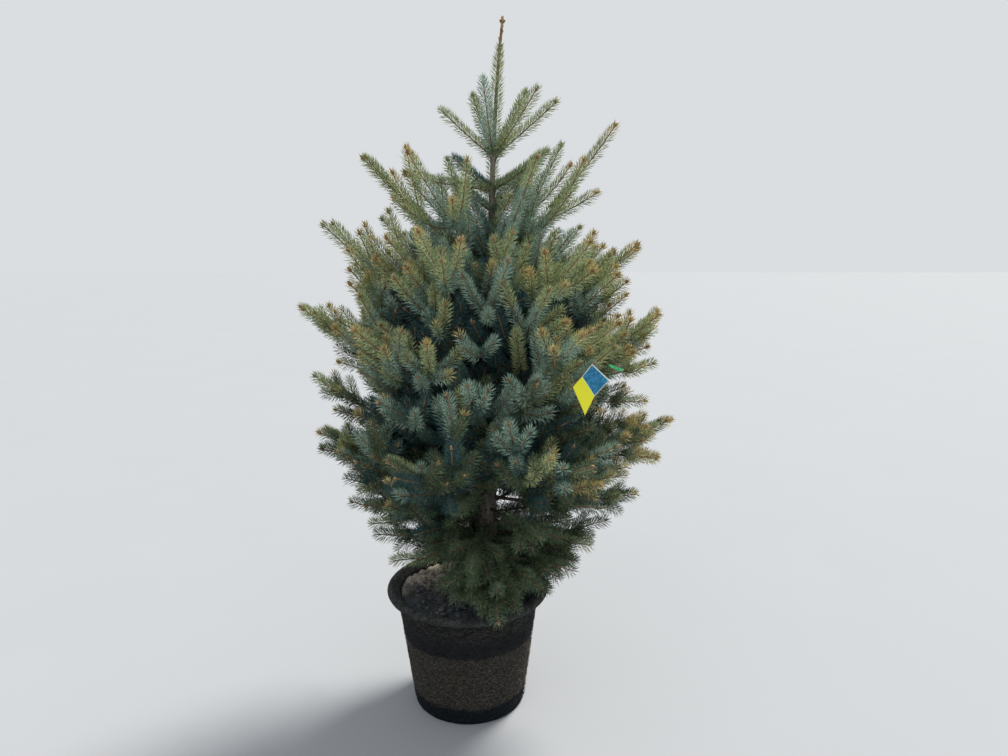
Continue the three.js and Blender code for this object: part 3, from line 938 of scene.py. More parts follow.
@dataclass
class Crown:
    """Grows every limb of the tree from the trunk by one seeded branching rule."""

    trunk: TrunkLine
    seed: int = 7
    side_angle: float = 44.0
    shares: tuple = (0.70, 0.68, 0.64)
    shortest: float = 0.060
    year_growth: float = 0.098
    fillers: int = 88
    spring_gap: float = 0.21
    least_gap: float = 0.12
    thinned: float = 0.55

    def main_boughs(self) -> Limbs:
        """One limb for each packed bough, along the same line.

        Returns:
            The limbs. Height above the root goes as rise times s (1 - bend + bend s). Two in
            front keep to their line but end sooner.
        """
        rows = []
        for index, tier in enumerate(TIERS):
            for k in range(tier.count):
                seed = 10 * index + k
                azimuth, reach, rise = tier.sizes(k, seed)
                c, s = math.cos(azimuth), math.sin(azimuth)
                root = self.trunk.middle(tier.height)
                part = ENDS_SOONER.get((tier.name, k), 1.0)
                first = [reach * c * part, reach * s * part, rise * (1 - tier.bend) * part]
                second = [0, 0, rise * tier.bend * part ** 2]
                rows.append((root, first, second, tier.years, BAND_ORDER.index(tier.band)))
        start, reach, curve, years, band = (np.array(column) for column in zip(*rows))
        return Limbs(start, reach, curve, years, np.zeros(len(years), int), band)

    def filling_boughs(self, rng: np.random.Generator) -> Limbs:
        """Thinner boughs from the trunk between the tiers, which close the crown's middle.

        Args:
            rng: The seeded source of chance.

        Returns:
            The limbs, two or three years old, at golden-angle turns up the trunk.
        """
        count = self.fillers
        height = 0.50 + 0.98 * np.linspace(0, 1, count) ** 1.28
        height += rng.uniform(-0.008, 0.008, count)
        azimuth = np.arange(count) * GOLDEN_TURN + rng.uniform(-0.25, 0.25, count)
        width = np.interp(height, [0.50, 0.60, 0.72, 0.85, 1.0, 1.2, 1.35, 1.5],
                          [0.30, 0.40, 0.47, 0.50, 0.51, 0.43, 0.27, 0.12])
        reach = width * rng.uniform(0.72, 1.02, count)
        rise = reach * np.interp(height, [0.5, 0.6, 0.72, 0.9, 1.2, 1.5],
                                 [-0.06, 0.02, 0.15, 0.52, 0.90, 1.2])
        band = len(BAND_ORDER) - 1 - np.searchsorted([0.62, 0.80, 1.06, 1.28], height)
        return Limbs(self.trunk.middle(height), polar(reach, azimuth, rise * 0.8),
                     (rise * 0.2)[:, None] * UP, np.where(reach > 0.36, 3, 2),
                     np.zeros(count, int), band)

    def outline_shoots(self, carriers: Limbs, rng: np.random.Generator) -> Limbs:
        """Shoots that reach the tips seen against the sky and in front.

        Each one springs from a point about 0.2 m away that it can leave at a small angle.
        Those in front stand nearly upright.

        Args:
            carriers: The limbs that carry them.
            rng: The seeded source of chance.

        Returns:
            The shoots, one to three years old.
        """
        share = np.linspace(0.15, 0.8, 27)
        spots = carriers.line(share).reshape(-1, 3)
        bend = 2 * carriers.curve[:, None] * share[:, None]
        along = unit(carriers.reach[:, None] + bend).reshape(-1, 3)
        tips = np.array(list(OUTLINE_TIPS.values()))
        gap = tips[:, None] - spots[None]
        distance = np.linalg.norm(gap, axis=-1)
        heading = gap / distance[..., None]
        outward = (heading * along[None]).sum(-1)
        standing = (heading @ unit(np.array([0.0, -0.22, 1.0]))) * (tips[:, 1:2] < -0.14)
        cost = np.abs(distance - self.spring_gap) + 0.22 * (1 - outward) - 0.45 * standing
        cost = cost + np.where(distance < self.least_gap, 1.0, 0.0)
        best = cost.argmin(axis=1)
        start = spots[best]
        span = tips - start
        size = np.linalg.norm(span, axis=1)
        lift = (size * rng.uniform(0.02, 0.12, len(size)))[:, None] * UP
        longest = np.where(tips[:, 2] > 1.5, 0.25, 0.18)
        years = np.where(size > 0.31, 3, np.where(size > longest, 2, 1))
        return Limbs(start, span - lift, lift, years, np.ones(len(size), int),
                     carriers.band[best // len(share)])

    def trunk_shoots(self) -> Limbs:
        """Last year's shoots that leave the trunk itself near its open stretch.

        Returns:
            The shoots, straight but for a slight upward bend.
        """
        start = self.trunk.middle(np.array([height for height, _ in TRUNK_SHOOTS]))
        span = np.array([tip for _, tip in TRUNK_SHOOTS]) - start
        lift = 0.12 * np.linalg.norm(span, axis=1)[:, None] * UP
        ones = np.ones(len(span), int)
        return Limbs(start, span - lift, lift, ones, ones, 0 * ones)

    def laterals(self, parents: Limbs, share: Array, azimuth: float, factor: float,
                 rng: np.random.Generator, years: Array) -> Limbs:
        """One side limb on every parent.

        It leaves at the side angle, turned about the parent by an azimuth from the parent's
        side towards its upper face, and bends upwards, or droops low down.

        Args:
            parents: The limbs that carry them.
            share: Where along each parent.
            azimuth: Degrees about the parent.
            factor: Length as a share of what the parent has left.
            rng: The seeded source of chance.
            years: The side limbs' ages.

        Returns:
            The side limbs.
        """
        count = len(parents.years)
        tangent = parents.tangent(share)
        side, upper = square_to(tangent)
        angle = np.radians(self.side_angle + rng.normal(0, 6, count))[:, None]
        out = turned_out(side, upper, np.radians(azimuth + rng.normal(0, 13, count)))
        heading = np.cos(angle) * tangent + np.sin(angle) * out
        left = parents.length() * (1 - share)
        size = (factor * left * rng.uniform(0.80, 1.18, count))[:, None]
        light = np.interp(parents.start[:, 2], [0.5, 0.63, 0.86], [-0.55, 0.0, 1.0])
        light = light * (1 - 0.65 * np.clip(heading[:, 2], 0, 1))
        facing = np.clip(np.abs(heading[:, 1]) - 0.3, 0, 0.7) * (light > 0)
        light = light * (1 + 0.9 * facing)
        rising = (rng.uniform(0.25, 0.80, count) * light)[:, None] * size
        curve = rising * UP + 0.05 * size * tangent
        return Limbs(parents.point(share), heading * size - 0.5 * curve, curve,
                     years, parents.order + 1, parents.band)

    def branch(self, parents: Limbs, rng: np.random.Generator) -> Limbs:
        """All side limbs of one generation: a strong pair and weaker ones at each year's end,
        and short ones between.

        Args:
            parents: The limbs that carry them.
            rng: The seeded source of chance.

        Returns:
            The side limbs that are long enough to keep.
        """
        grown = []
        order = int(parents.order[0]) if len(parents.order) else 0
        share = self.shares[min(order, 2)]
        oldest = int(parents.years.max())
        for node in range(1, oldest):
            able = parents.take(parents.years > node)
            place = node / able.years + rng.normal(0, 0.018, len(able.years))
            left = able.years - node
            for azimuth, factor, odds in WHORL:
                strong = self.laterals(able, place, azimuth, factor * share, rng, left)
                chance = odds * np.where(able.band == UPPER_BAND, 0.72, 1.0)
                grown.append(strong.take(rng.uniform(size=len(place)) < chance))
        for year in range(oldest):
            able = parents.take((parents.years > year) & (parents.years > 1))
            place = np.minimum((year + 0.52) / able.years, 0.93)
            place = np.maximum(place, 0.16 if order == 0 else 0.10)
            left = np.maximum(able.years - year - 1, 1)
            keep = rng.uniform(size=len(place)) < (0.75 if order == 0 else 0.4)
            keep &= able.years - year > 1
            for azimuth in (rng.uniform(-30, 60), 180 - rng.uniform(-30, 60)):
                young = self.laterals(able, place, azimuth, 0.46, rng, left)
                grown.append(young.take(keep))
        found = Limbs.joined(grown)
        size = found.length()
        ages = np.minimum(found.years, np.maximum(1, np.floor(size / self.year_growth).astype(int)))
        found = replace(found, years=ages)
        return found.take(size > self.shortest)

    def grow(self) -> Limbs:
        """Every limb of the crown.

        Returns:
            Main boughs first, then the others by generation.
        """
        rng = np.random.default_rng(self.seed)
        boughs = Limbs.joined([self.main_boughs(), self.filling_boughs(rng)])
        sides = self.branch(boughs, rng)
        carriers = Limbs.joined([boughs, sides.take(sides.years > 1)])
        first = Limbs.joined([sides, self.outline_shoots(carriers, rng), self.trunk_shoots()])
        second = self.branch(first.take(first.years > 1), rng)
        third = self.branch(second.take(second.years > 1), rng)
        limbs = Limbs.joined([boughs, first, second, third])
        limbs = limbs.take(self.inside(limbs) & ~self.crowded(limbs))
        LOG.info("crown: %d limbs, %.0f m", len(limbs.years), limbs.length().sum())
        return limbs

    def crowded(self, limbs: Limbs) -> Array:
        """Which of the smallest shoots low down are left out, so that the skirt stays airy.

        Args:
            limbs: The limbs.

        Returns:
            A mask: more than half of the last year's shoots of the finest orders.
        """
        number = np.arange(len(limbs.years))
        low = limbs.point(1.0)[:, 2] < 0.68
        fine = (limbs.order >= 2) & (limbs.years == 1)
        return fine & low & (hashed(number, number, 7.0) < self.thinned)

    def inside(self, limbs: Limbs) -> Array:
        """Which limbs stay clear of the soil, the pot and the gaps that the camera looks into.

        Args:
            limbs: The limbs.

        Returns:
            A mask. The boughs from the trunk are always kept.
        """
        keep = np.ones(len(limbs.years), bool)
        for share in (0.25, 0.5, 0.75, 1.0):
            spot = limbs.point(share)
            for gap in VIEW_GAPS:
                keep &= ~gap.holds(spot)
        tip = limbs.point(1.0)
        low, high = (np.array(corner) for corner in cad_box)
        room = ((tip > low + 0.008) & (tip < high - 0.002)).all(axis=1)
        reach = np.hypot(tip[:, 0], tip[:, 1])
        floor = np.where(reach < 0.285, 0.418, 0.43)
        floor = np.where((reach > 0.20) & (tip[:, 1] > -0.1), 0.45, floor)
        return (room & keep & (tip[:, 2] > floor)) | (limbs.order == 0)


def outwardness(tip: Array) -> Array:
    """How near the crown's face a point is: its distance from the trunk over the crown's radius.

    Args:
        tip: Points.

    Returns:
        0 at the trunk, about 1 at the face, at most 1.1.
    """
    radius = np.hypot(tip[:, 0] - CROWN_X, tip[:, 1])
    envelope = np.interp(tip[:, 2], [0.4, 0.7, 1.0, 1.35, 1.7, 2.2],
                         [0.40, 0.52, 0.58, 0.54, 0.36, 0.12])
    return np.clip(radius / envelope, 0, 1.1)


@dataclass
class Shoots:
    """One year's growth each, cut out of the limbs, with its age and its length."""

    limbs: Limbs
    age: Array
    size: Array

    @staticmethod
    def cut(limbs: Limbs) -> "Shoots":
        """Cuts limbs into years: from share a to b a quadratic stays a quadratic.

        Args:
            limbs: The limbs.

        Returns:
            The shoots. Age 1 is the outermost.
        """
        owner = np.repeat(np.arange(len(limbs.years)), limbs.years)
        first = np.cumsum(limbs.years) - limbs.years
        year = np.arange(len(owner)) - first[owner]
        chosen = limbs.take(owner)
        low = year / chosen.years
        step = (1 / chosen.years)[:, None]
        start = chosen.point(low)
        reach = step * (chosen.reach + 2 * chosen.curve * low[:, None])
        parts = Limbs(start, reach, chosen.curve * step * step, chosen.years,
                      chosen.order, chosen.band)
        return Shoots(parts, chosen.years - year, parts.length())


@dataclass
class NeedleSprays:
    """Needles set round every shoot on a golden-angle spiral, dealt out by tone and band."""

    shoots: Shoots
    seed: int = 23
    length: float = 0.0300
    width: float = 0.0024
    per_metre: tuple = (1400.0, 1180.0, 740.0, 340.0, 0.0)
    lean: float = 60.0
    upsweep: float = 0.13
    core: float = 0.64
    face: float = 0.68
    # Below this height deep needles turn moss as painted shade, and no needle end turns gold.
    mossy_below: float = 0.66

    def tones(self, rng: np.random.Generator) -> Array:
        """A tone for each shoot: older shoots are deep for their age; as painted shade the inside is
        deep and the lowest storeys are moss; as painted sunlight the sunny sides, the right more
        than the left, and the top turn olive, silver or gold; the front stays blue.

        Args:
            rng: The seeded source of chance.

        Returns:
            Tone numbers in the order of NeedleTone.
        """
        shoots = self.shoots
        tip = shoots.limbs.point(1.0)
        dx = tip[:, 0] - CROWN_X
        radius = np.hypot(dx, tip[:, 1])
        outer = outwardness(tip)
        sideways = np.abs(dx) / np.maximum(radius, 0.02)
        # Painted sunlight: outer shoots on the sides, the right more than the left, and shoots near
        # the top get olive and some gold.
        sunny = outer ** 2 * (0.25 + 0.75 * sideways ** 2) * np.where(dx < 0, 0.72, 1.1)
        sunny += np.interp(tip[:, 2], [1.35, 1.75], [0, 0.18])
        dice = rng.uniform(size=len(shoots.age))
        young = shoots.age == 1
        # Painted light: higher up, more shoots are blue and silver and fewer are deep.
        high = np.interp(tip[:, 2], [0.9, 1.35], [0, 0.66])
        tone = np.where(dice < 0.30 + high, BLUE, DEEP)
        tone = np.where(young, np.where(dice < 0.86 - high, BLUE, SILVER), tone)
        tone = np.where(young & (dice > 0.42 + 1.2 * high) & (dice < 0.86 - high), DEEP, tone)
        # Painted shade: low shoots turn moss, most of them near the bottom.
        shaded = np.interp(tip[:, 2], [0.60, 0.74, 1.10, 1.35], [0.84, 0.66, 0.16, 0.03])
        moss_shade = rng.uniform(size=len(dice)) < shaded
        olive = (rng.uniform(size=len(dice)) < 0.92 * sunny) & (shoots.age <= 2)
        tone = np.where(olive, OLIVE, tone)
        gold = young & (rng.uniform(size=len(dice)) < 0.05 * np.clip(sunny - 0.35, 0, 1))
        gold &= tip[:, 2] < 1.45
        tone = np.where(gold, GOLD, tone)
        tone = np.where(moss_shade & (tone != GOLD), MOSS, tone)
        # Painted shade: shoots inside the crown turn deep; shoots three years old and more turn deep
        # for their age.
        inner = (outer < self.core) & (dice > 0.18) & (tip[:, 2] < 1.5)
        tone = np.where((inner | (shoots.age >= 3)) & (tone != MOSS), DEEP, tone)
        # Painted shade: deep shoots low down, and low shoots at the front, turn moss.
        tone = np.where((tone == DEEP) & (tip[:, 2] < self.mossy_below), MOSS, tone)
        low_front = tip[:, 2] < 0.60 - 0.22 * np.minimum(tip[:, 1], 0)
        return np.where((tone < OLIVE) & low_front, MOSS, tone)

    def sunlit_tones(self, tone: Array, owner: Array, index: Array, share: Array) -> Array:
        """Tones of single needles: outer ends of sunlit shoots turn silver, olive or gold, as paler
        new growth and as painted sunlight, most on the top, on the sides and at the right edge.

        Args:
            tone: Each shoot's tone.
            owner: The number of each needle's shoot.
            index: Each needle's number on its shoot.
            share: Where along the shoot it sits.

        Returns:
            Tone numbers.
        """
        limbs = self.shoots.limbs
        outer = outwardness(limbs.point(1.0)) > self.face
        sunlit = (outer & (self.shoots.age == 1))[owner]
        place = limbs.start[owner]
        turned = share + 0.10 * hashed(owner, index, 3.0)
        kind = tone[owner]
        # Painted sunlight: the top and the sides count as lit, and their ends turn olive.
        lit = place[:, 2] * 0.9 + np.abs(place[:, 0] - 0.08) > 1.22
        # Painted light: the higher the shoot, the more of its end turns silver and olive.
        high = np.interp(place[:, 2], [0.75, 1.05, 1.35], [-0.32, -0.27, 0.32])
        kind = np.where(sunlit & (turned > 0.52 - high) & (kind == BLUE), SILVER, kind)
        kind = np.where(sunlit & lit & (turned > 0.76 - 0.5 * high) & (kind < OLIVE), OLIVE, kind)
        # Painted sunlight: the right edge, where the sun shines through, gets the most gold ends.
        edge = (place[:, 0] > 0.34) & (place[:, 2] > 0.75)
        golden = hashed(owner, owner, 5.0) < np.where(edge, 0.8, np.where(lit, 0.62, 0.20))
        golden &= (place[:, 2] > self.mossy_below) & (place[:, 2] < 1.70)
        return np.where(sunlit & (turned > np.where(edge, 0.86, 0.92)) & golden, GOLD, kind)

    def needles(self) -> tuple[Array, Array, Array]:
        """Every needle as a folded kite: foot, two edges and point.

        The foot sits on the twig at a golden-angle turn. The needle leaves the twig at about
        sixty degrees, less near the shoot's tip, and is swept a little upwards.

        Returns:
            Corner points (n, 4, 3), tone numbers and band numbers.
        """
        rng = np.random.default_rng(self.seed)
        shoots = self.shoots
        tone = self.tones(rng)
        rate = np.array(self.per_metre)[np.minimum(shoots.age, len(self.per_metre)) - 1]
        count = np.round(rate * shoots.size).astype(int)
        bare = (shoots.limbs.order == 0) & (shoots.age >= 3)
        count = np.where(bare, count // 3, count)
        owner = np.repeat(np.arange(len(count)), count)
        first = np.cumsum(count) - count
        index = np.arange(len(owner)) - first[owner]
        total = len(owner)
        share = (index + 0.5 + rng.uniform(-0.4, 0.4, total)) / count[owner]
        parts = shoots.limbs.take(owner)
        tangent = parts.tangent(share)
        side, upper = square_to(tangent)
        turn = index * GOLDEN_TURN + rng.normal(0, 0.10, total)
        turn = turn + 0.30 * np.cos(turn)
        parted = (np.sin(turn) < -0.88) & (shoots.limbs.order[owner] <= 1)
        radial = turned_out(side, upper, turn)
        young = shoots.age[owner] == 1
        kind = self.sunlit_tones(tone, owner, index, share)
        end = np.clip((share - 0.86) / 0.14, 0, 1) * young
        lean = np.radians(self.lean + rng.normal(0, 3.5, total) + 5 * ~young)
        lean = lean * (1 - 0.42 * end) - 0.10 * np.sin(turn)
        heading = np.cos(lean)[:, None] * tangent + np.sin(lean)[:, None] * radial
        heading = unit(heading + self.upsweep * UP)
        size = self.length * rng.uniform(0.90, 1.08, total) * (1 - 0.30 * end)
        size = size * np.interp(shoots.size[owner], [0.05, 0.11], [0.84, 1.0])
        size = size * np.interp(parts.start[:, 2], [0.60, 0.75], [1.14, 1.0])
        thick = 0.0017 + 0.0011 * (shoots.age[owner] - 1)
        foot = parts.point(share) + radial * (thick * 0.8)[:, None]
        across = unit(np.cross(heading, tangent))
        rise = np.cross(across, heading)
        half = (self.width / 2 * rng.uniform(0.85, 1.1, total))[:, None]
        middle = foot + heading * (0.56 * size)[:, None] - rise * (0.03 * size)[:, None]
        point = foot + heading * size[:, None] + 0.05 * size[:, None] * tangent
        left = middle + across * half
        right = middle - across * half
        ridge = foot + rise * half * 0.35
        corners = np.stack([ridge, left, point, right], 1)
        kept = ~parted | (hashed(owner, index, 9.0) < 0.55)
        return corners[kept], kind[kept], parts.band[kept]

    def build(self, replaced: dict) -> None:
        """Joins the needles of each tone and band into one piece.

        Args:
            replaced: For each tone and band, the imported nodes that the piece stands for.
        """
        corners, tone, band = self.needles()
        LOG.info("needles: %d", len(corners))
        for tone_index, kind in enumerate(NeedleTone):
            for band_index, storey in enumerate(CrownBand):
                chosen = corners[(tone == tone_index) & (band == band_index)]
                if len(chosen):
                    add_needles(f"{kind.value}_{storey.value}_storey", chosen, kind,
                                tuple(replaced.get((kind, storey), ())))


def shoot_radius(age: Array, order: Array) -> Array:
    """Twig radius at the start of a year's growth of an age, in metres."""
    table = np.array([0.0017, 0.0024, 0.0034, 0.0046, 0.0060, 0.0078])
    return table[np.minimum(age, 5)] * np.array([1.0, 0.95, 0.70, 0.62])[np.minimum(order, 3)]


@dataclass
class Twigs:
    """Twigs of the side limbs: a tube for each year's growth, young ones orange brown."""

    shoots: Shoots

    def build(self) -> None:
        """Makes the old and the young twigs, each in pieces by storey."""
        shoots = self.shoots
        share = np.linspace(-0.01, 1.0, 4)
        last_year = shoots.age == 1
        grown = ~last_year & (shoots.limbs.order > 0)
        upper = shoots.limbs.band < BAND_ORDER.index(CrownBand.MIDDLE)
        for kind, mine, sides, finish, slot in (
                ("young_twigs", last_year, 4, YOUNG_TWIG, "young_twig"),
                ("old_twigs", grown, 6, OLD_TWIG, "bark")):
            for place, half in (("upper", upper), ("lower", ~upper)):
                parts = shoots.limbs.take(mine & half)
                age = shoots.age[mine & half]
                thick = shoot_radius(age, parts.order)[:, None]
                thin = shoot_radius(age - 1, parts.order)[:, None]
                tubes = Tubes(parts.line(share), thick * (1 - share) + thin * share, sides)
                add_piece(f"{kind}_{place}", *tubes.surface(), finish, slot)


@dataclass
class Buds:
    """Clusters of open bud scales at the tips of last year's shoots."""

    shoots: Shoots
    seed: int = 41
    length: float = 0.0130
    width: float = 0.0042
    shortest_shoot: float = 0.066
    face: float = 0.62

    def build(self) -> None:
        """Closed spindles of three rings: one ends the shoot, up to three lean out round it."""
        rng = np.random.default_rng(self.seed)
        shoots = self.shoots
        ends = shoots.limbs.point(1.0)
        outer = outwardness(ends)
        shown = (shoots.age == 1) & (shoots.size > self.shortest_shoot) & (outer > self.face)
        low = np.interp(ends[:, 2], [0.6, 1.5], [0.08, 0.40])
        few = rng.uniform(size=len(shown)) < low
        main = (shoots.limbs.order <= 1) & (ends[:, 2] > 0.85) & (outer > 0.74)
        shown &= (few & (shoots.size > 0.08)) | main
        tips = shoots.limbs.take(shown)
        size = tips.length()
        ends = tips.point(1.0)
        heading = tips.tangent(1.0)
        side, upper = square_to(heading)
        starts, headings, scales = [], [], []
        for place in range(4):
            turn = rng.uniform(0, 2 * math.pi, len(size)) if place == 0 else turn + 2.1
            lean, back, aside, part = (0.75, 0.004, 0.0012, 0.72) if place else (0, 0, 0, 1.0)
            out = turned_out(side, upper, turn)
            starts.append(ends - heading * back + out * aside)
            headings.append(unit(heading + lean * out))
            grown = np.clip(size / 0.12, 0.6, 1.05) * rng.uniform(0.85, 1.15, len(size))
            keep = (place == 0) | (rng.uniform(size=len(size)) < np.clip(size / 0.10, 0.2, 0.95))
            scales.append(np.where(keep, grown * part, 0))
        start, heading, scale = (np.concatenate(rows) for rows in (starts, headings, scales))
        chosen = scale > 0
        start, heading, scale = start[chosen], heading[chosen], scale[chosen, None]
        share = np.array([0.0, 0.42, 0.86]) * self.length
        belly = np.array([0.78, 1.0, 0.42]) * self.width
        centre = start[:, None] + heading[:, None] * share[:, None] * scale[..., None]
        add_piece("bud_clusters", *Tubes(centre, belly * scale, 4).surface(), BUD_SCALE,
                  "young_twig")


@dataclass
class MainBoughs:
    """The thick boughs from trunk to last year's shoot, with bark relief."""

    limbs: Limbs
    relief: float = 0.10

    def build(self, nodes: tuple) -> None:
        """Tubes whose radius tapers by age and is roughened by noise along the bark.

        Args:
            nodes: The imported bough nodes.
        """
        limbs = self.limbs.take((self.limbs.order == 0) & (self.limbs.years > 1))
        rings, sides = 44, 12
        share = np.linspace(0, 1, rings)[None] * ((limbs.years - 0.9) / limbs.years)[:, None]
        left = limbs.years[:, None] * (1 - share)
        root = np.clip(share / 0.06, 0, 1)
        radius = 0.0016 + 0.00155 * left ** 1.12 + 0.0035 * (1 - root) ** 2
        angle = np.arange(sides)[None, None] * 1.0
        along = share[..., None] * limbs.length()[:, None, None] * 160
        number = np.arange(len(limbs.years))[:, None, None] * 31.0
        rough = lattice_noise(angle * 0.5 + number * 6, along + 0 * angle, 3.0)
        thick = radius[..., None] * (1 + self.relief * (rough * 2 - 1))
        count = len(limbs.years)
        relief = np.concatenate([rough.reshape(count, -1), np.ones((count, 2))], 1)
        tubes = Tubes(limbs.line(share), thick, sides)
        add_piece("main_boughs", *tubes.surface(), BOUGH_BARK, "bark", nodes, relief=relief)


@dataclass
class Trunk:
    """The trunk with bark plates and with collars at the boughs."""

    line: TrunkLine
    limbs: Limbs
    turns: int = 72
    rings: int = 520
    plate_columns: int = 12
    young_relief: float = 0.0006
    old_relief: float = 0.0036
    collar: float = 0.0016
    collar_rise: float = 0.016
    collar_width: float = 0.013
    highest_collar: float = 0.006

    def build(self) -> None:
        """A tube along the trunk's line.

        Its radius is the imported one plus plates, a stretched lattice noise whose valleys are
        cracks, and a bulge round the root of each bough.
        """
        z = np.linspace(self.line.soil - 0.012, self.line.soil + self.line.rise - 0.004, self.rings)
        angle = np.arange(self.turns) * 2 * math.pi / self.turns
        height, turn = np.meshgrid(z, angle, indexing="ij")
        radius = self.line.radius(height, turn)
        age = np.clip((1.75 - height) / 1.2, 0.0, 1.0)
        cells = self.plate_columns
        drift = lattice_noise(turn * 2 / math.pi, height * 22, 5.0, 4) * 1.6
        plates = lattice_noise(turn / (2 * math.pi) * cells + drift, height * 55, 1.0, cells)
        fine = lattice_noise(turn / (2 * math.pi) * 36, height * 210, 2.0, 36)
        ridge = 1 - np.abs(2 * plates - 1)
        relief = np.clip(0.75 * ridge + 0.35 * fine, 0, 1)
        bark = (relief - 0.5) * (self.young_relief + self.old_relief * age)
        roots = self.limbs.take(self.limbs.order == 0)
        azimuth = np.arctan2(roots.reach[:, 1], roots.reach[:, 0])
        collar = np.zeros_like(height)
        for level, aim, years in zip(roots.start[:, 2], azimuth, roots.years):
            away = np.angle(np.exp(1j * (turn - aim))) * radius
            above = height - level - 0.004
            distance = (above / self.collar_rise) ** 2 + (away / self.collar_width) ** 2
            collar += self.collar * years * np.exp(-distance)
        radius = radius + bark + np.minimum(collar, self.highest_collar)
        centre = self.line.middle(z)
        shell = polar(radius, turn, height)
        shell[..., :2] += centre[:, None, :2]
        ends = np.stack([centre[0], centre[-1] + 0.003 * UP])
        faces = ring_faces(self.rings, self.turns)[:, [0, 2, 1]]
        points = np.concatenate([shell.reshape(-1, 3), ends])
        add_piece("trunk_bark", points, faces, TRUNK_BARK, "bark", ("trunk",),
                  relief=np.append(relief.ravel(), [0.5, 0.5]))


@dataclass
class Leader:
    """Last year's leader: upswept needles and a bare red-brown tip with buds."""

    line: TrunkLine
    seed: int = 59
    low: float = 1.800
    bare: float = 2.105
    foot: float = 1.590
    per_metre: float = 1900.0
    foot_per_metre: float = 1700.0
    half_width: float = 0.0012
    bud: float = 0.0125
    stem_low: float = 1.95

    def build(self) -> None:
        """Needles on the leader and, thinner, on the year below it, then buds at the tip."""
        rng = np.random.default_rng(self.seed)
        self.spray("leader_spray", rng, (self.low, self.bare), (0.0300, self.per_metre),
                   (60, 52, 32), 0.60, ("leader_needles",))
        self.spray("leader_foot_spray", rng, (self.foot, self.low), (0.0240, self.foot_per_metre),
                   (66, 58, 52), 0.90)
        self.tip_buds(rng)

    def spray(self, name: str, rng: np.random.Generator, ends: tuple, sizes: tuple,
              leans: tuple, last: float, nodes: tuple = ()) -> None:
        """Needles on a golden-angle spiral, each leaning out from the stem.

        Args:
            name: The piece's name.
            rng: The seeded source of chance.
            ends: Lowest and highest level.
            sizes: Full length of a needle, and needles a metre.
            leans: Degrees from upright at the low end, halfway and at the high end.
            last: Length at the high end as a share of the full length.
            nodes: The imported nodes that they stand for.
        """
        low, span = ends[0], ends[1] - ends[0]
        length, rate = sizes
        total = int(rate * span)
        share = (np.arange(total) + rng.uniform(0, 1, total)) / total
        z = low + span * share
        turn = np.arange(total) * GOLDEN_TURN + rng.normal(0, 0.2, total)
        radial = polar(1.0, turn, 0 * turn)
        lean = np.radians(np.interp(share, [0, 0.5, 1.0], leans)
                          + rng.normal(0, 6, total))[:, None]
        heading = np.cos(lean) * UP + np.sin(lean) * radial
        size = (length * np.interp(share, [0, 0.8, 1], [1, 0.9, last])
                * rng.uniform(0.85, 1.1, total))[:, None]
        across = unit(np.cross(heading, radial + 1e-6))
        spin = 1.7 * turn[:, None]
        across = np.cos(spin) * across + np.sin(spin) * np.cross(heading, across)
        across = across * self.half_width
        foot = self.line.middle(z) + radial * self.line.radius(z, turn)[:, None]
        middle = foot + heading * 0.42 * size
        corners = np.stack([foot, middle - across, foot + heading * size, middle + across], 1)
        add_needles(name, corners, NeedleTone.OLIVE, nodes)

    def tip_buds(self, rng: np.random.Generator) -> None:
        """Orange bark over the bare top, a large end bud, a ring round it and some below.

        Args:
            rng: The seeded source of chance.
        """
        top = self.line.soil + self.line.rise
        level = np.concatenate([[top - 0.014], np.full(5, top - 0.020),
                                top - rng.uniform(0.03, 0.105, 12)])
        turn = np.concatenate([[0], np.arange(5) * 1.2566, np.arange(12) * GOLDEN_TURN])
        lean = np.concatenate([[0.0], np.full(5, 0.7), np.full(12, 0.8)])[:, None]
        scale = np.concatenate([[1.15], np.full(5, 0.85), np.full(12, 0.62)])[:, None, None]
        radial = polar(1.0, turn, 0 * turn)
        start = self.line.middle(level) + radial * 0.003 * (lean > 0)
        heading = unit(UP + lean * radial)
        share = np.array([0.0, 0.25, 0.55, 0.9])[None, :, None]
        centre = start[:, None] + heading[:, None] * share * self.bud * scale
        belly = np.array([[0.0038, 0.0030, 0.0040, 0.0016]]) * scale[:, :, 0]
        add_piece("leader_buds", *Tubes(centre, belly, 8).surface(), BUD_SCALE, "young_twig")
        z = np.linspace(self.stem_low, top - 0.006, 24)
        radius = np.interp(z, [self.stem_low, 2.09, top], [0.0049, 0.0046, 0.0036])
        radius = radius * (1 + 0.06 * np.sin(z * 900))
        stem = Tubes(self.line.middle(z)[None], radius[None], 12)
        add_piece("leader_stem", *stem.surface(), YOUNG_TWIG, "young_twig")


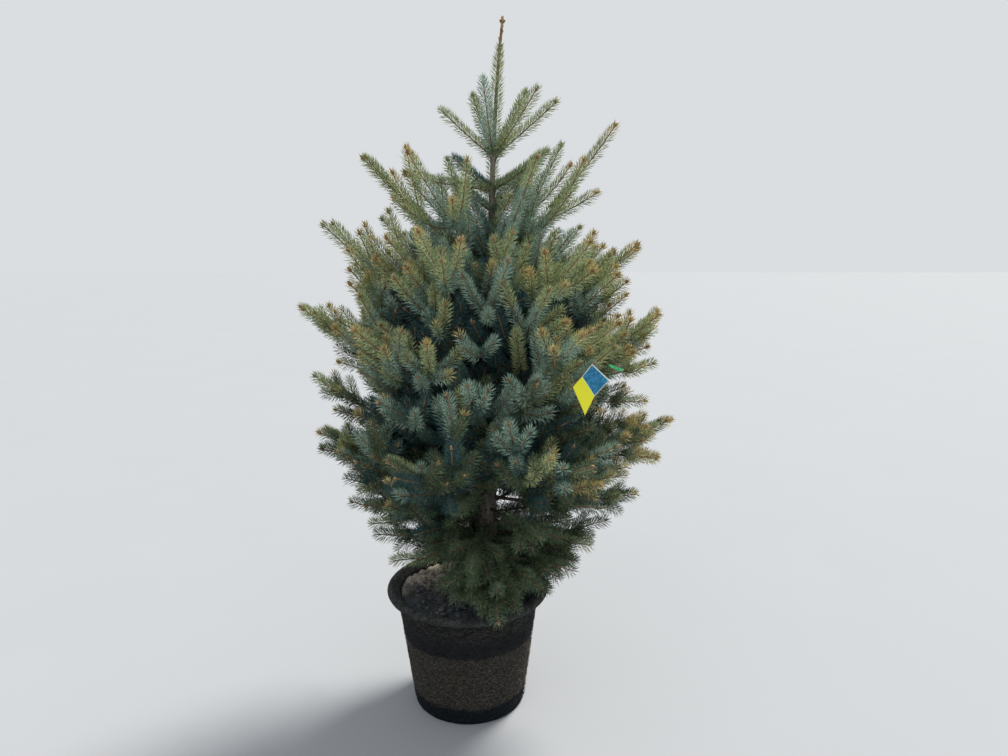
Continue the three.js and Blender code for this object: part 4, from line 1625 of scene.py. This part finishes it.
@dataclass
class FibrePot:
    """The tapered pot of moulded fibre with its rolled rim."""

    height: float = 0.410
    base: float = 0.1845
    neck: float = 0.2345
    neck_z: float = 0.386
    rim: float = 0.2685
    lip_wide: float = 0.0145
    lip_high: float = 0.014
    wall: float = 0.012
    floor: float = 0.014
    ledge: float = 0.0025
    ledge_z: float = 0.352
    lip_z: float = 0.3785
    slump: float = 0.0045
    notch_turn: float = -112.0
    turns: int = 620
    strand_count: int = 2600
    strand_seed: int = 67

    def outer(self, z: Array) -> Array:
        """Outer radius at a height: a straight taper with a small step at the ledge."""
        radius = self.base + (self.neck - self.base) * z / self.neck_z
        return radius + self.ledge * np.clip((z - self.ledge_z) / 0.003, 0, 1)

    def settled(self, z: Array) -> Array:
        """How far the soft wall has slumped to the right at a height: most at the foot."""
        return self.slump * np.clip(1 - z / self.neck_z, 0, 1)

    def build(self) -> None:
        """A revolved profile whose radius carries felted lumps, streaks and a worn rim."""
        bottom = self.height - 2 * self.lip_high - self.ledge
        wall_z = np.concatenate([np.linspace(0.006, 0.348, 84), np.linspace(0.351, bottom, 10)])
        wall = np.stack([self.outer(wall_z), wall_z], -1)
        foot = np.array([[0, 0], [0.10, 0.0], [0.17, 0.0], [0.1785, 0.0004], [0.1828, 0.0022]])
        turn = np.linspace(-math.pi * 0.5, math.pi * 0.8, 14)
        outside = np.stack([self.rim - self.lip_wide * (1 - np.cos(turn)),
                            self.height - self.lip_high * (1 - np.sin(turn))], -1)
        under = np.array([[self.outer(bottom) + 0.004, bottom + 0.0006],
                          [self.rim - self.lip_wide - 0.006, bottom + 0.0018]])
        inner = self.outer(self.neck_z) - self.wall
        over = np.array([[inner + 0.007, 0.3985], [inner + 0.002, 0.394], [inner, 0.386]])
        inside = np.array([[inner - 0.0035, 0.355], [inner - 0.010, 0.30],
                           [self.outer(0.02) - self.wall, self.floor + 0.004],
                           [self.outer(0.02) - self.wall - 0.01, self.floor], [0, self.floor]])
        profile = np.concatenate([foot, wall, under, outside, over, inside])
        low, high = len(foot), len(foot) + len(wall)
        angle = np.arange(self.turns)[:, None] * 2 * math.pi / self.turns
        level = profile[None, :, 1] + 0 * angle
        around = angle / (2 * math.pi) + 0 * level
        lump, streak, grain, broad = (
            lattice_noise(around * wide, level * tall, seed, wide) - 0.5
            for wide, tall, seed in (
                (60, 40, 11.0), (170, 230, 12.0), (310, 330, 13.0), (7, 9, 14.0)))
        relief = 0.0012 * lump + 0.0022 * streak + 0.0016 * grain
        relief += 0.0012 * np.sin(level * 2 * math.pi / 0.0135) * (level > 0.315)
        rows = np.arange(len(profile))
        lip_end = high + len(under) + len(outside) + 1
        on_wall = ((rows >= low) & (rows < high))[None] * 1.0
        on_lip = ((rows >= high) & (rows < lip_end))[None] * 1.0
        away = np.angle(np.exp(1j * (angle - math.radians(self.notch_turn))))
        inner_field = (np.abs(away) < 0.058) & (level < 0.3905)
        notch = (np.abs(away) < 0.078) & (level < 0.3965) & (level > 0.379) & ~inner_field
        shaped = np.repeat(profile[None], self.turns, axis=0)
        shaped[..., 0] += on_wall * (relief + 0.003 * broad) - 0.0018 * notch
        shaped[..., 0] += on_lip * (0.0022 * broad + 0.0006 * grain + 0.0007 * lump)
        shaped[..., 1] += on_lip * (0.0030 * broad + 0.0005 * grain)
        points, faces = revolved(shaped)
        points[:, 0] += self.settled(points[:, 2])
        lip = np.clip((profile[1:-1, 1] - self.lip_z) / 0.003, 0, 1)
        lip = np.where(rows[1:-1] >= lip_end, lip * 0.6, lip)
        # Painted shade: in the notch the rim colour gives way to the darker body colour.
        lip = lip[None] * (1 - 0.9 * notch[:, 1:-1])
        add_piece("pot_shell", points, faces, FibreFinish(), "pot_fibre", ("fibre_pot",),
                  lip=np.append(lip.ravel(), [0, 0]))
        self.strands()

    def strands(self) -> None:
        """Loose strands that lie on the wall: thin three-sided tubes bent to its curve."""
        rng = np.random.default_rng(self.strand_seed)
        count = self.strand_count
        angle = rng.uniform(0, 2 * math.pi, count)
        level = 0.012 + 0.362 * rng.uniform(0, 1, count)
        tilt = rng.normal(0, 0.55, count)
        size = rng.uniform(0.010, 0.032, count)
        share = np.linspace(-0.5, 0.5, 5)[None]
        arc = share * size[:, None] * np.cos(tilt)[:, None]
        bow = rng.normal(0, 0.0012, count)[:, None] * (1 - 4 * share ** 2)
        z = np.clip(level[:, None] + share * size[:, None] * np.sin(tilt)[:, None] + bow,
                    0.006, 0.377)
        radius = self.outer(z) + 0.0012 + 0.0009 * (1 - 4 * share ** 2)
        turn = angle[:, None] + arc / radius
        centre = polar(radius, turn, z)
        centre[..., 0] += self.settled(z)
        thick = (rng.uniform(0.0004, 0.0009, count)[:, None]
                 * np.array([[0.5, 1, 1, 1, 0.5]]))
        points, faces = Tubes(centre, thick, 3).surface()
        sunk = level + 0.002
        # Painted shade: strands in the bands take darker, bluer colours.
        damp = (sunk > FibreFinish.damp_low) | (sunk < FibreFinish.foot_high)
        owner = np.arange(len(faces)) // (len(faces) // count)
        for name, wanted, dark, middle, pale in (
                ("pot_strands_dry", ~damp, (0.018, 0.017, 0.014), (0.060, 0.053, 0.042),
                 (0.19, 0.162, 0.125)),
                ("pot_strands_banded", damp, (0.0050, 0.0062, 0.0072), (0.0135, 0.0156, 0.0178),
                 (0.029, 0.032, 0.034))):
            chosen = faces[wanted[owner]]
            used, renumbered = np.unique(chosen, return_inverse=True)
            add_piece(name, points[used], renumbered.reshape(-1, 3),
                      TwigFinish(name, dark, middle, pale), "pot_fibre")


@dataclass
class PottingSoil:
    """The soil in the pot: a lumpy top with clods and fallen needles on it."""

    level: float = 0.389
    edge: float = 0.2228
    bottom: float = 0.30
    turns: int = 240
    seed: int = 71
    clod_count: int = 420
    clod_reach: float = 0.213
    clod_top: float = 0.402
    litter_count: int = 900
    litter_reach: float = 0.21

    def surface(self, x: Array, y: Array) -> Array:
        """Height of the soil's top: flat in the middle, lower at the wall, with lumps."""
        radius = np.hypot(x, y)
        height = self.level - 0.005 * np.clip((radius - 0.16) / 0.06, 0, 1)
        for cells, shift, seed, depth in (
                (26, 50, 31.0, 0.016), (75, 90, 32.0, 0.009), (190, 150, 33.0, 0.0035)):
            noise = lattice_noise(x * cells + shift, y * cells + shift, seed)
            height = height + (noise - 0.5) * depth
        return height + 0.005 * np.exp(-((x + 0.09) ** 2 + (y - 0.09) ** 2) / 0.008)

    def dryness(self, x: Array, y: Array) -> Array:
        """Where painted sunlight falls on the top: a pale patch at the back left, none in front."""
        patch = lattice_noise(x * 30 + 20, y * 30 + 20, 34.0)
        return np.clip((y * 6.0 - x * 2.6 - 0.26) + (patch - 0.5) * 0.7, 0, 1)

    def build(self) -> None:
        """The bed, the clods on it and the litter."""
        top = np.concatenate([np.linspace(self.edge, 0.006, 62), [0]])
        angle = np.arange(self.turns)[:, None] * 2 * math.pi / self.turns
        x, y = top[None] * np.cos(angle), top[None] * np.sin(angle)
        height = self.surface(x, y)
        height[:, -1] = height[:, -2].mean()
        side = np.array([[0, self.bottom], [0.1, self.bottom], [self.edge - 0.008, self.bottom]])
        side = np.repeat(side[None], self.turns, axis=0)
        shell = np.concatenate([side, np.stack([top[None] + 0 * angle, height], -1)], 1)
        points, faces = revolved(shell)
        # Painted light: the dark soil colours are blue-grey as painted shade, the pale one is
        # painted sunlight.
        earth = EarthFinish("moist_soil", (0.0240, 0.0290, 0.0345), (0.098, 0.113, 0.125),
                            (0.90, 0.77, 0.58))
        add_piece("soil_bed", points, faces, earth, "soil", ("potting_soil",),
                  dryness=self.dryness(points[:, 0], points[:, 1]))
        self.clods()
        self.litter()

    def clods(self) -> None:
        """Clods and chips: small rough balls, squashed and turned, half sunk in the soil."""
        rng = np.random.default_rng(self.seed)
        count = self.clod_count
        radius = self.clod_reach * np.sqrt(rng.uniform(0.03, 1, count))
        turn = rng.uniform(0, 2 * math.pi, count)
        x, y = radius * np.cos(turn), radius * np.sin(turn)
        size = 0.0030 + 0.0098 * rng.uniform(0, 1, count) ** 2.8
        sides, rings = 9, 6
        pole = (np.arange(rings) + 0.5) * math.pi / rings
        across = np.sin(pole)[None, :, None]
        rough = 0.56 + 0.8 * rng.uniform(size=(count, rings, sides))
        rough = 0.5 * rough + 0.25 * (np.roll(rough, 1, 2) + np.roll(rough, -1, 2))
        flat = rng.uniform(0.38, 0.75, count)
        centre_z = self.surface(x, y) + size * flat * 0.35
        centre_z = np.minimum(centre_z, self.clod_top)
        offset = -np.cos(pole)[None] * (size * flat)[:, None]
        centre = np.stack([x[:, None] + 0 * offset, y[:, None] + 0 * offset,
                           centre_z[:, None] + offset], -1)
        points, faces = Tubes(centre, size[:, None, None] * across * rough, sides).surface()
        # Painted sunlight: clods in the pale patch turn pale, larger ones a little more at random.
        dry = self.dryness(x, y) * 0.8 + 0.08 * rng.uniform(size=count) * (size > 0.006)
        earth = EarthFinish("clods", (0.0270, 0.0325, 0.0380), (0.112, 0.128, 0.140),
                            (0.90, 0.77, 0.58), 60.0)
        add_piece("soil_clods", points, faces, earth, "soil",
                  dryness=np.repeat(np.clip(dry, 0, 1), len(points) // count))

    def litter(self) -> None:
        """Fallen needles: brown slivers that lie flat on the soil at random turns."""
        rng = np.random.default_rng(self.seed + 1)
        count = self.litter_count
        radius = self.litter_reach * np.sqrt(rng.uniform(0.02, 1, count))
        turn = rng.uniform(0, 2 * math.pi, count)
        x, y = radius * np.cos(turn), radius * np.sin(turn)
        aim = rng.uniform(0, 2 * math.pi, count)
        size = rng.uniform(0.012, 0.024, count)[:, None]
        centre = np.stack([x, y, self.surface(x, y) + 0.0025], -1)
        heading = np.stack([np.cos(aim), np.sin(aim), rng.normal(0, 0.12, count)], -1)
        share = np.array([-0.5, 0.0, 0.5])[None, :, None]
        line = centre[:, None] + heading[:, None] * share * size[:, None]
        line[..., 2] = np.maximum(line[..., 2], self.surface(line[..., 0], line[..., 1]) + 0.0006)
        thick = np.full((count, 3), 0.00055) * np.array([[0.5, 1, 0.4]])
        brown = TwigFinish("fallen_needles", (0.04, 0.028, 0.018), (0.10, 0.072, 0.044),
                           (0.22, 0.16, 0.10))
        add_piece("soil_litter", *Tubes(line, thick, 3).surface(), brown, "soil")


@dataclass
class NurseryLabel:
    """The hanging card: a thin bowed plate with a blue and a yellow field, no print on it."""

    centre: tuple = (0.351, -0.401, 1.154)
    left_edge: tuple = ((-0.038, 0.055), (-0.039, 0.012), (-0.042, -0.025))
    right_edge: tuple = ((0.029, 0.050), (0.023, -0.009), (0.034, -0.065))
    thickness: float = 0.0008
    turn: float = -38.0
    facing: float = 12.0
    eye: tuple = (0.014, 0.044)
    columns: int = 64
    rows: int = 96
    tail: tuple = ((0.398, -0.415, 1.2200), (0.416, -0.418, 1.2120), (0.434, -0.414, 1.2060))

    def to_frame(self, across: Array, along: Array, out: Array) -> Array:
        """Places card coordinates in the row's frame: turned in its plane, then faced round.

        Args:
            across: Metres to the right on the card.
            along: Metres up the card.
            out: Metres towards the viewer.

        Returns:
            Points.
        """
        turn, facing = math.radians(self.turn), math.radians(self.facing)
        x = across * math.cos(turn) - along * math.sin(turn)
        z = across * math.sin(turn) + along * math.cos(turn)
        y = -out
        placed = np.stack([x * math.cos(facing) - y * math.sin(facing),
                           x * math.sin(facing) + y * math.cos(facing), z], -1)
        return placed + np.array(self.centre)

    def build(self) -> None:
        """Front and back grids between the two edges, joined by a rim, bowed and curled."""
        u, v = np.meshgrid(np.linspace(-1, 1, self.columns), np.linspace(1, -1, self.rows),
                           indexing="ij")
        left, right = np.array(self.left_edge), np.array(self.right_edge)
        down = (1 - v) / 2
        ends = [[np.interp(down, [0, 0.5, 1], side[:, axis]) for axis in (0, 1)]
                for side in (left, right)]
        across = ends[0][0] * (1 - u) / 2 + ends[1][0] * (1 + u) / 2
        along = ends[0][1] * (1 - u) / 2 + ends[1][1] * (1 + u) / 2
        bow = 0.0022 * (1 - u * u) + 0.0030 * np.clip(-v - 0.4, 0, 1) ** 2
        front = self.to_frame(across, along, bow + self.thickness)
        back = self.to_frame(across, along, bow)
        points = np.concatenate([front.reshape(-1, 3), back.reshape(-1, 3)])
        index = np.arange(self.columns * self.rows).reshape(self.columns, self.rows)
        a, b = index[:-1, :-1].ravel(), index[1:, :-1].ravel()
        c, d = index[1:, 1:].ravel(), index[:-1, 1:].ravel()
        size = index.size
        faces = [np.stack([a, b, c, d], -1), np.stack([a, d, c, b], -1) + size]
        rim = np.concatenate([index[:, 0], index[-1, 1:], index[-2::-1, -1], index[0, -2:0:-1]])
        after = np.roll(rim, -1)
        faces.append(np.stack([rim, rim + size, after + size, after], -1))
        zones = {"blue": (np.abs(u) < 0.945) & (v < 0.955) & (v > 0.012), "yellow": v < 0.0}
        painted = {name: np.append(zone, np.zeros(size)) for name, zone in zones.items()}
        add_piece("label_card", points, np.concatenate(faces), CardFinish(), "label_plastic",
                  ("label",), **painted)
        self.strap()

    def strap(self) -> None:
        """A flat green tie from the card's eye back to the bough, and its loose end."""
        low, high = (np.array(corner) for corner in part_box("label_tie"))
        eye = self.to_frame(np.array(self.eye[0]), np.array(self.eye[1]), np.array(0.0028))
        back = np.array([high[0] - 0.001, high[1] - 0.001, (low[2] + high[2]) / 2])
        share = np.linspace(0, 1, 26)[:, None]
        line = eye * (1 - share) + back * share + 0.006 * UP * 4 * share * (1 - share)
        self.band("label_strap", line, 0.0026, ("label_tie",))
        first, middle, last = (np.array(spot) for spot in self.tail)
        bend = first * (1 - share) ** 2 + last * share ** 2
        self.band("label_strap_end", bend + 2 * middle * share * (1 - share), 0.0034)

    def band(self, name: str, line: Array, wide: float, nodes: tuple = ()) -> None:
        """A flat band with square ends along a line.

        Args:
            name: The piece's name.
            line: Its centre line, (n, 3).
            wide: Half its width.
            nodes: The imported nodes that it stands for.
        """
        tangent = unit(np.gradient(line, axis=0))
        side, upper = square_to(tangent)
        deep = 0.0007
        corners = [line + upper * wide * a - side * deep * b
                   for a, b in ((-1, -1), (1, -1), (1, 1), (-1, 1))]
        points = np.stack(corners, 1).reshape(-1, 3)
        ring = np.arange(len(line) - 1)[:, None] * 4
        step = np.arange(4)[None]
        after = (step + 1) % 4
        walls = np.stack([ring + step, ring + after, ring + after + 4, ring + step + 4],
                         -1).reshape(-1, 4)
        last = (len(line) - 1) * 4
        caps = np.array([[3, 2, 1, 0], [last, last + 1, last + 2, last + 3]])
        green = PlainPlasticFinish("tie_plastic", (0.012, 0.36, 0.10), (0.07, 0.60, 0.22))
        add_piece(name, points, np.concatenate([walls, caps])[:, ::-1], green, "tie_plastic",
                  nodes, False)


@dataclass(frozen=True)
class FloorFinish(Finish):
    """A plain pale studio floor with the faintest mottling."""

    colour: tuple = (0.336, 0.349, 0.372)

    def dress(self) -> bpy.types.Material:
        """Two near greys by broad noise."""
        shader = Shader("studio_floor")
        near = tuple(c * 0.985 for c in self.colour)
        shader.colour(shader.ramp(shader.noise(1.5), [(0.3, near), (0.7, self.colour)]))
        shader.gloss(0.9, 0.2)
        return shader.material


@dataclass
class Studio:
    """Camera, floor and lights."""

    place: tuple = (0.1214, -2.38, 1.557)
    pitch: float = 10.7
    focal_px: float = 757.0
    image_width: int = 1008
    sensor_mm: float = 36.0
    floor_size: float = 60.0

    def build(self) -> None:
        """Makes the camera first, then the floor and the lights."""
        self.camera()
        self.floor()
        self.lights()

    def camera(self) -> None:
        """The camera at the photograph's angle; its lens comes from the fitted focal length."""
        data = bpy.data.cameras.new("camera")
        data.sensor_width = self.sensor_mm
        data.lens = self.focal_px / self.image_width * self.sensor_mm
        data.clip_end = 200.0
        camera = bpy.data.objects.new("camera", data)
        camera.location = self.place
        camera.rotation_euler = (math.radians(90 - self.pitch), 0, 0)
        bpy.context.scene.collection.objects.link(camera)
        bpy.context.scene.camera = camera

    def floor(self) -> None:
        """A wide square of pale floor, just under the pot."""
        half = self.floor_size / 2
        points = np.array([[-half, -half, 0], [half, -half, 0], [half, half, 0],
                           [-half, half, 0]], float)
        floor = build_mesh("studio_floor", points, np.array([[0, 1, 2, 3]]), False)
        floor.data.materials.append(FloorFinish().material())

    def lights(self) -> None:
        """A soft key from the upper right behind, a weak fill from the front and a pale surround.

        The floor's colour is chosen so that in this light it is as bright as the surround.
        """
        self.soft_light("key", (0.58, 0.59, 1.0), 20.0, 5.2, (1.0, 0.97, 0.90))
        self.soft_light("fill", (-0.5, -1.0, 0.9), 40.0, 0.25, (0.96, 0.98, 1.0))
        world = bpy.data.worlds.new("studio")
        world.use_nodes = True
        background = world.node_tree.nodes["Background"]
        background.inputs["Color"].default_value = (0.955, 0.985, 1.01, 1)
        background.inputs["Strength"].default_value = 0.74
        scene = bpy.context.scene
        scene.world = world
        scene.view_settings.view_transform = "Standard"

    def soft_light(self, name: str, towards: tuple, spread: float, strength: float,
                   colour: tuple) -> None:
        """A wide far light, as even as a large studio bank.

        Args:
            name: Its name.
            towards: The direction that it stands in, seen from the tree.
            spread: Its width in degrees, which softens the shadows.
            strength: Watts on a square metre.
            colour: Its tint.
        """
        data = bpy.data.lights.new(name, "SUN")
        data.angle = math.radians(spread)
        data.energy = strength
        data.color = colour
        light = bpy.data.objects.new(name, data)
        light.location = np.array(towards) * 4
        yaw = math.atan2(-towards[1], -towards[0]) - math.pi / 2
        tilt = math.atan2(math.hypot(towards[0], towards[1]), towards[2])
        light.rotation_euler = (tilt, 0, yaw)
        bpy.context.scene.collection.objects.link(light)


def nodes_by_tone() -> dict:
    """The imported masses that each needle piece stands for, by tone and storey.

    Returns:
        Node names for a pair of tone and band.
    """
    tone_of = {
        CrownBand.TOP: NeedleTone.OLIVE, CrownBand.UPPER: NeedleTone.BLUE,
        CrownBand.SHOULDER: NeedleTone.BLUE, CrownBand.MIDDLE: NeedleTone.BLUE,
        CrownBand.LOWER: NeedleTone.DEEP, CrownBand.SKIRT: NeedleTone.MOSS,
    }
    found = {}
    for tier in TIERS:
        names = [f"{tier.name}_{k + 1}" for k in range(tier.count)]
        found.setdefault((tone_of[tier.band], tier.band), []).extend(names)
    return found


def write_sizes() -> None:
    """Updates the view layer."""
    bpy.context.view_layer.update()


def main() -> None:
    """Builds the studio, the tree, the pot, the soil and the label, in that order."""
    logging.basicConfig(level=logging.INFO, format="%(message)s")
    Studio().build()
    line = TrunkLine()
    limbs = Crown(line).grow()
    shoots = Shoots.cut(limbs)
    Trunk(line, limbs).build()
    boughs = [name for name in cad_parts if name.endswith("_bough")]
    MainBoughs(limbs).build(tuple(sorted(boughs)))
    Twigs(shoots).build()
    NeedleSprays(shoots).build(nodes_by_tone())
    Buds(shoots).build()
    Leader(line).build()
    FibrePot().build()
    PottingSoil().build()
    NurseryLabel().build()
    write_sizes()


if __name__ == "__main__":
    main()
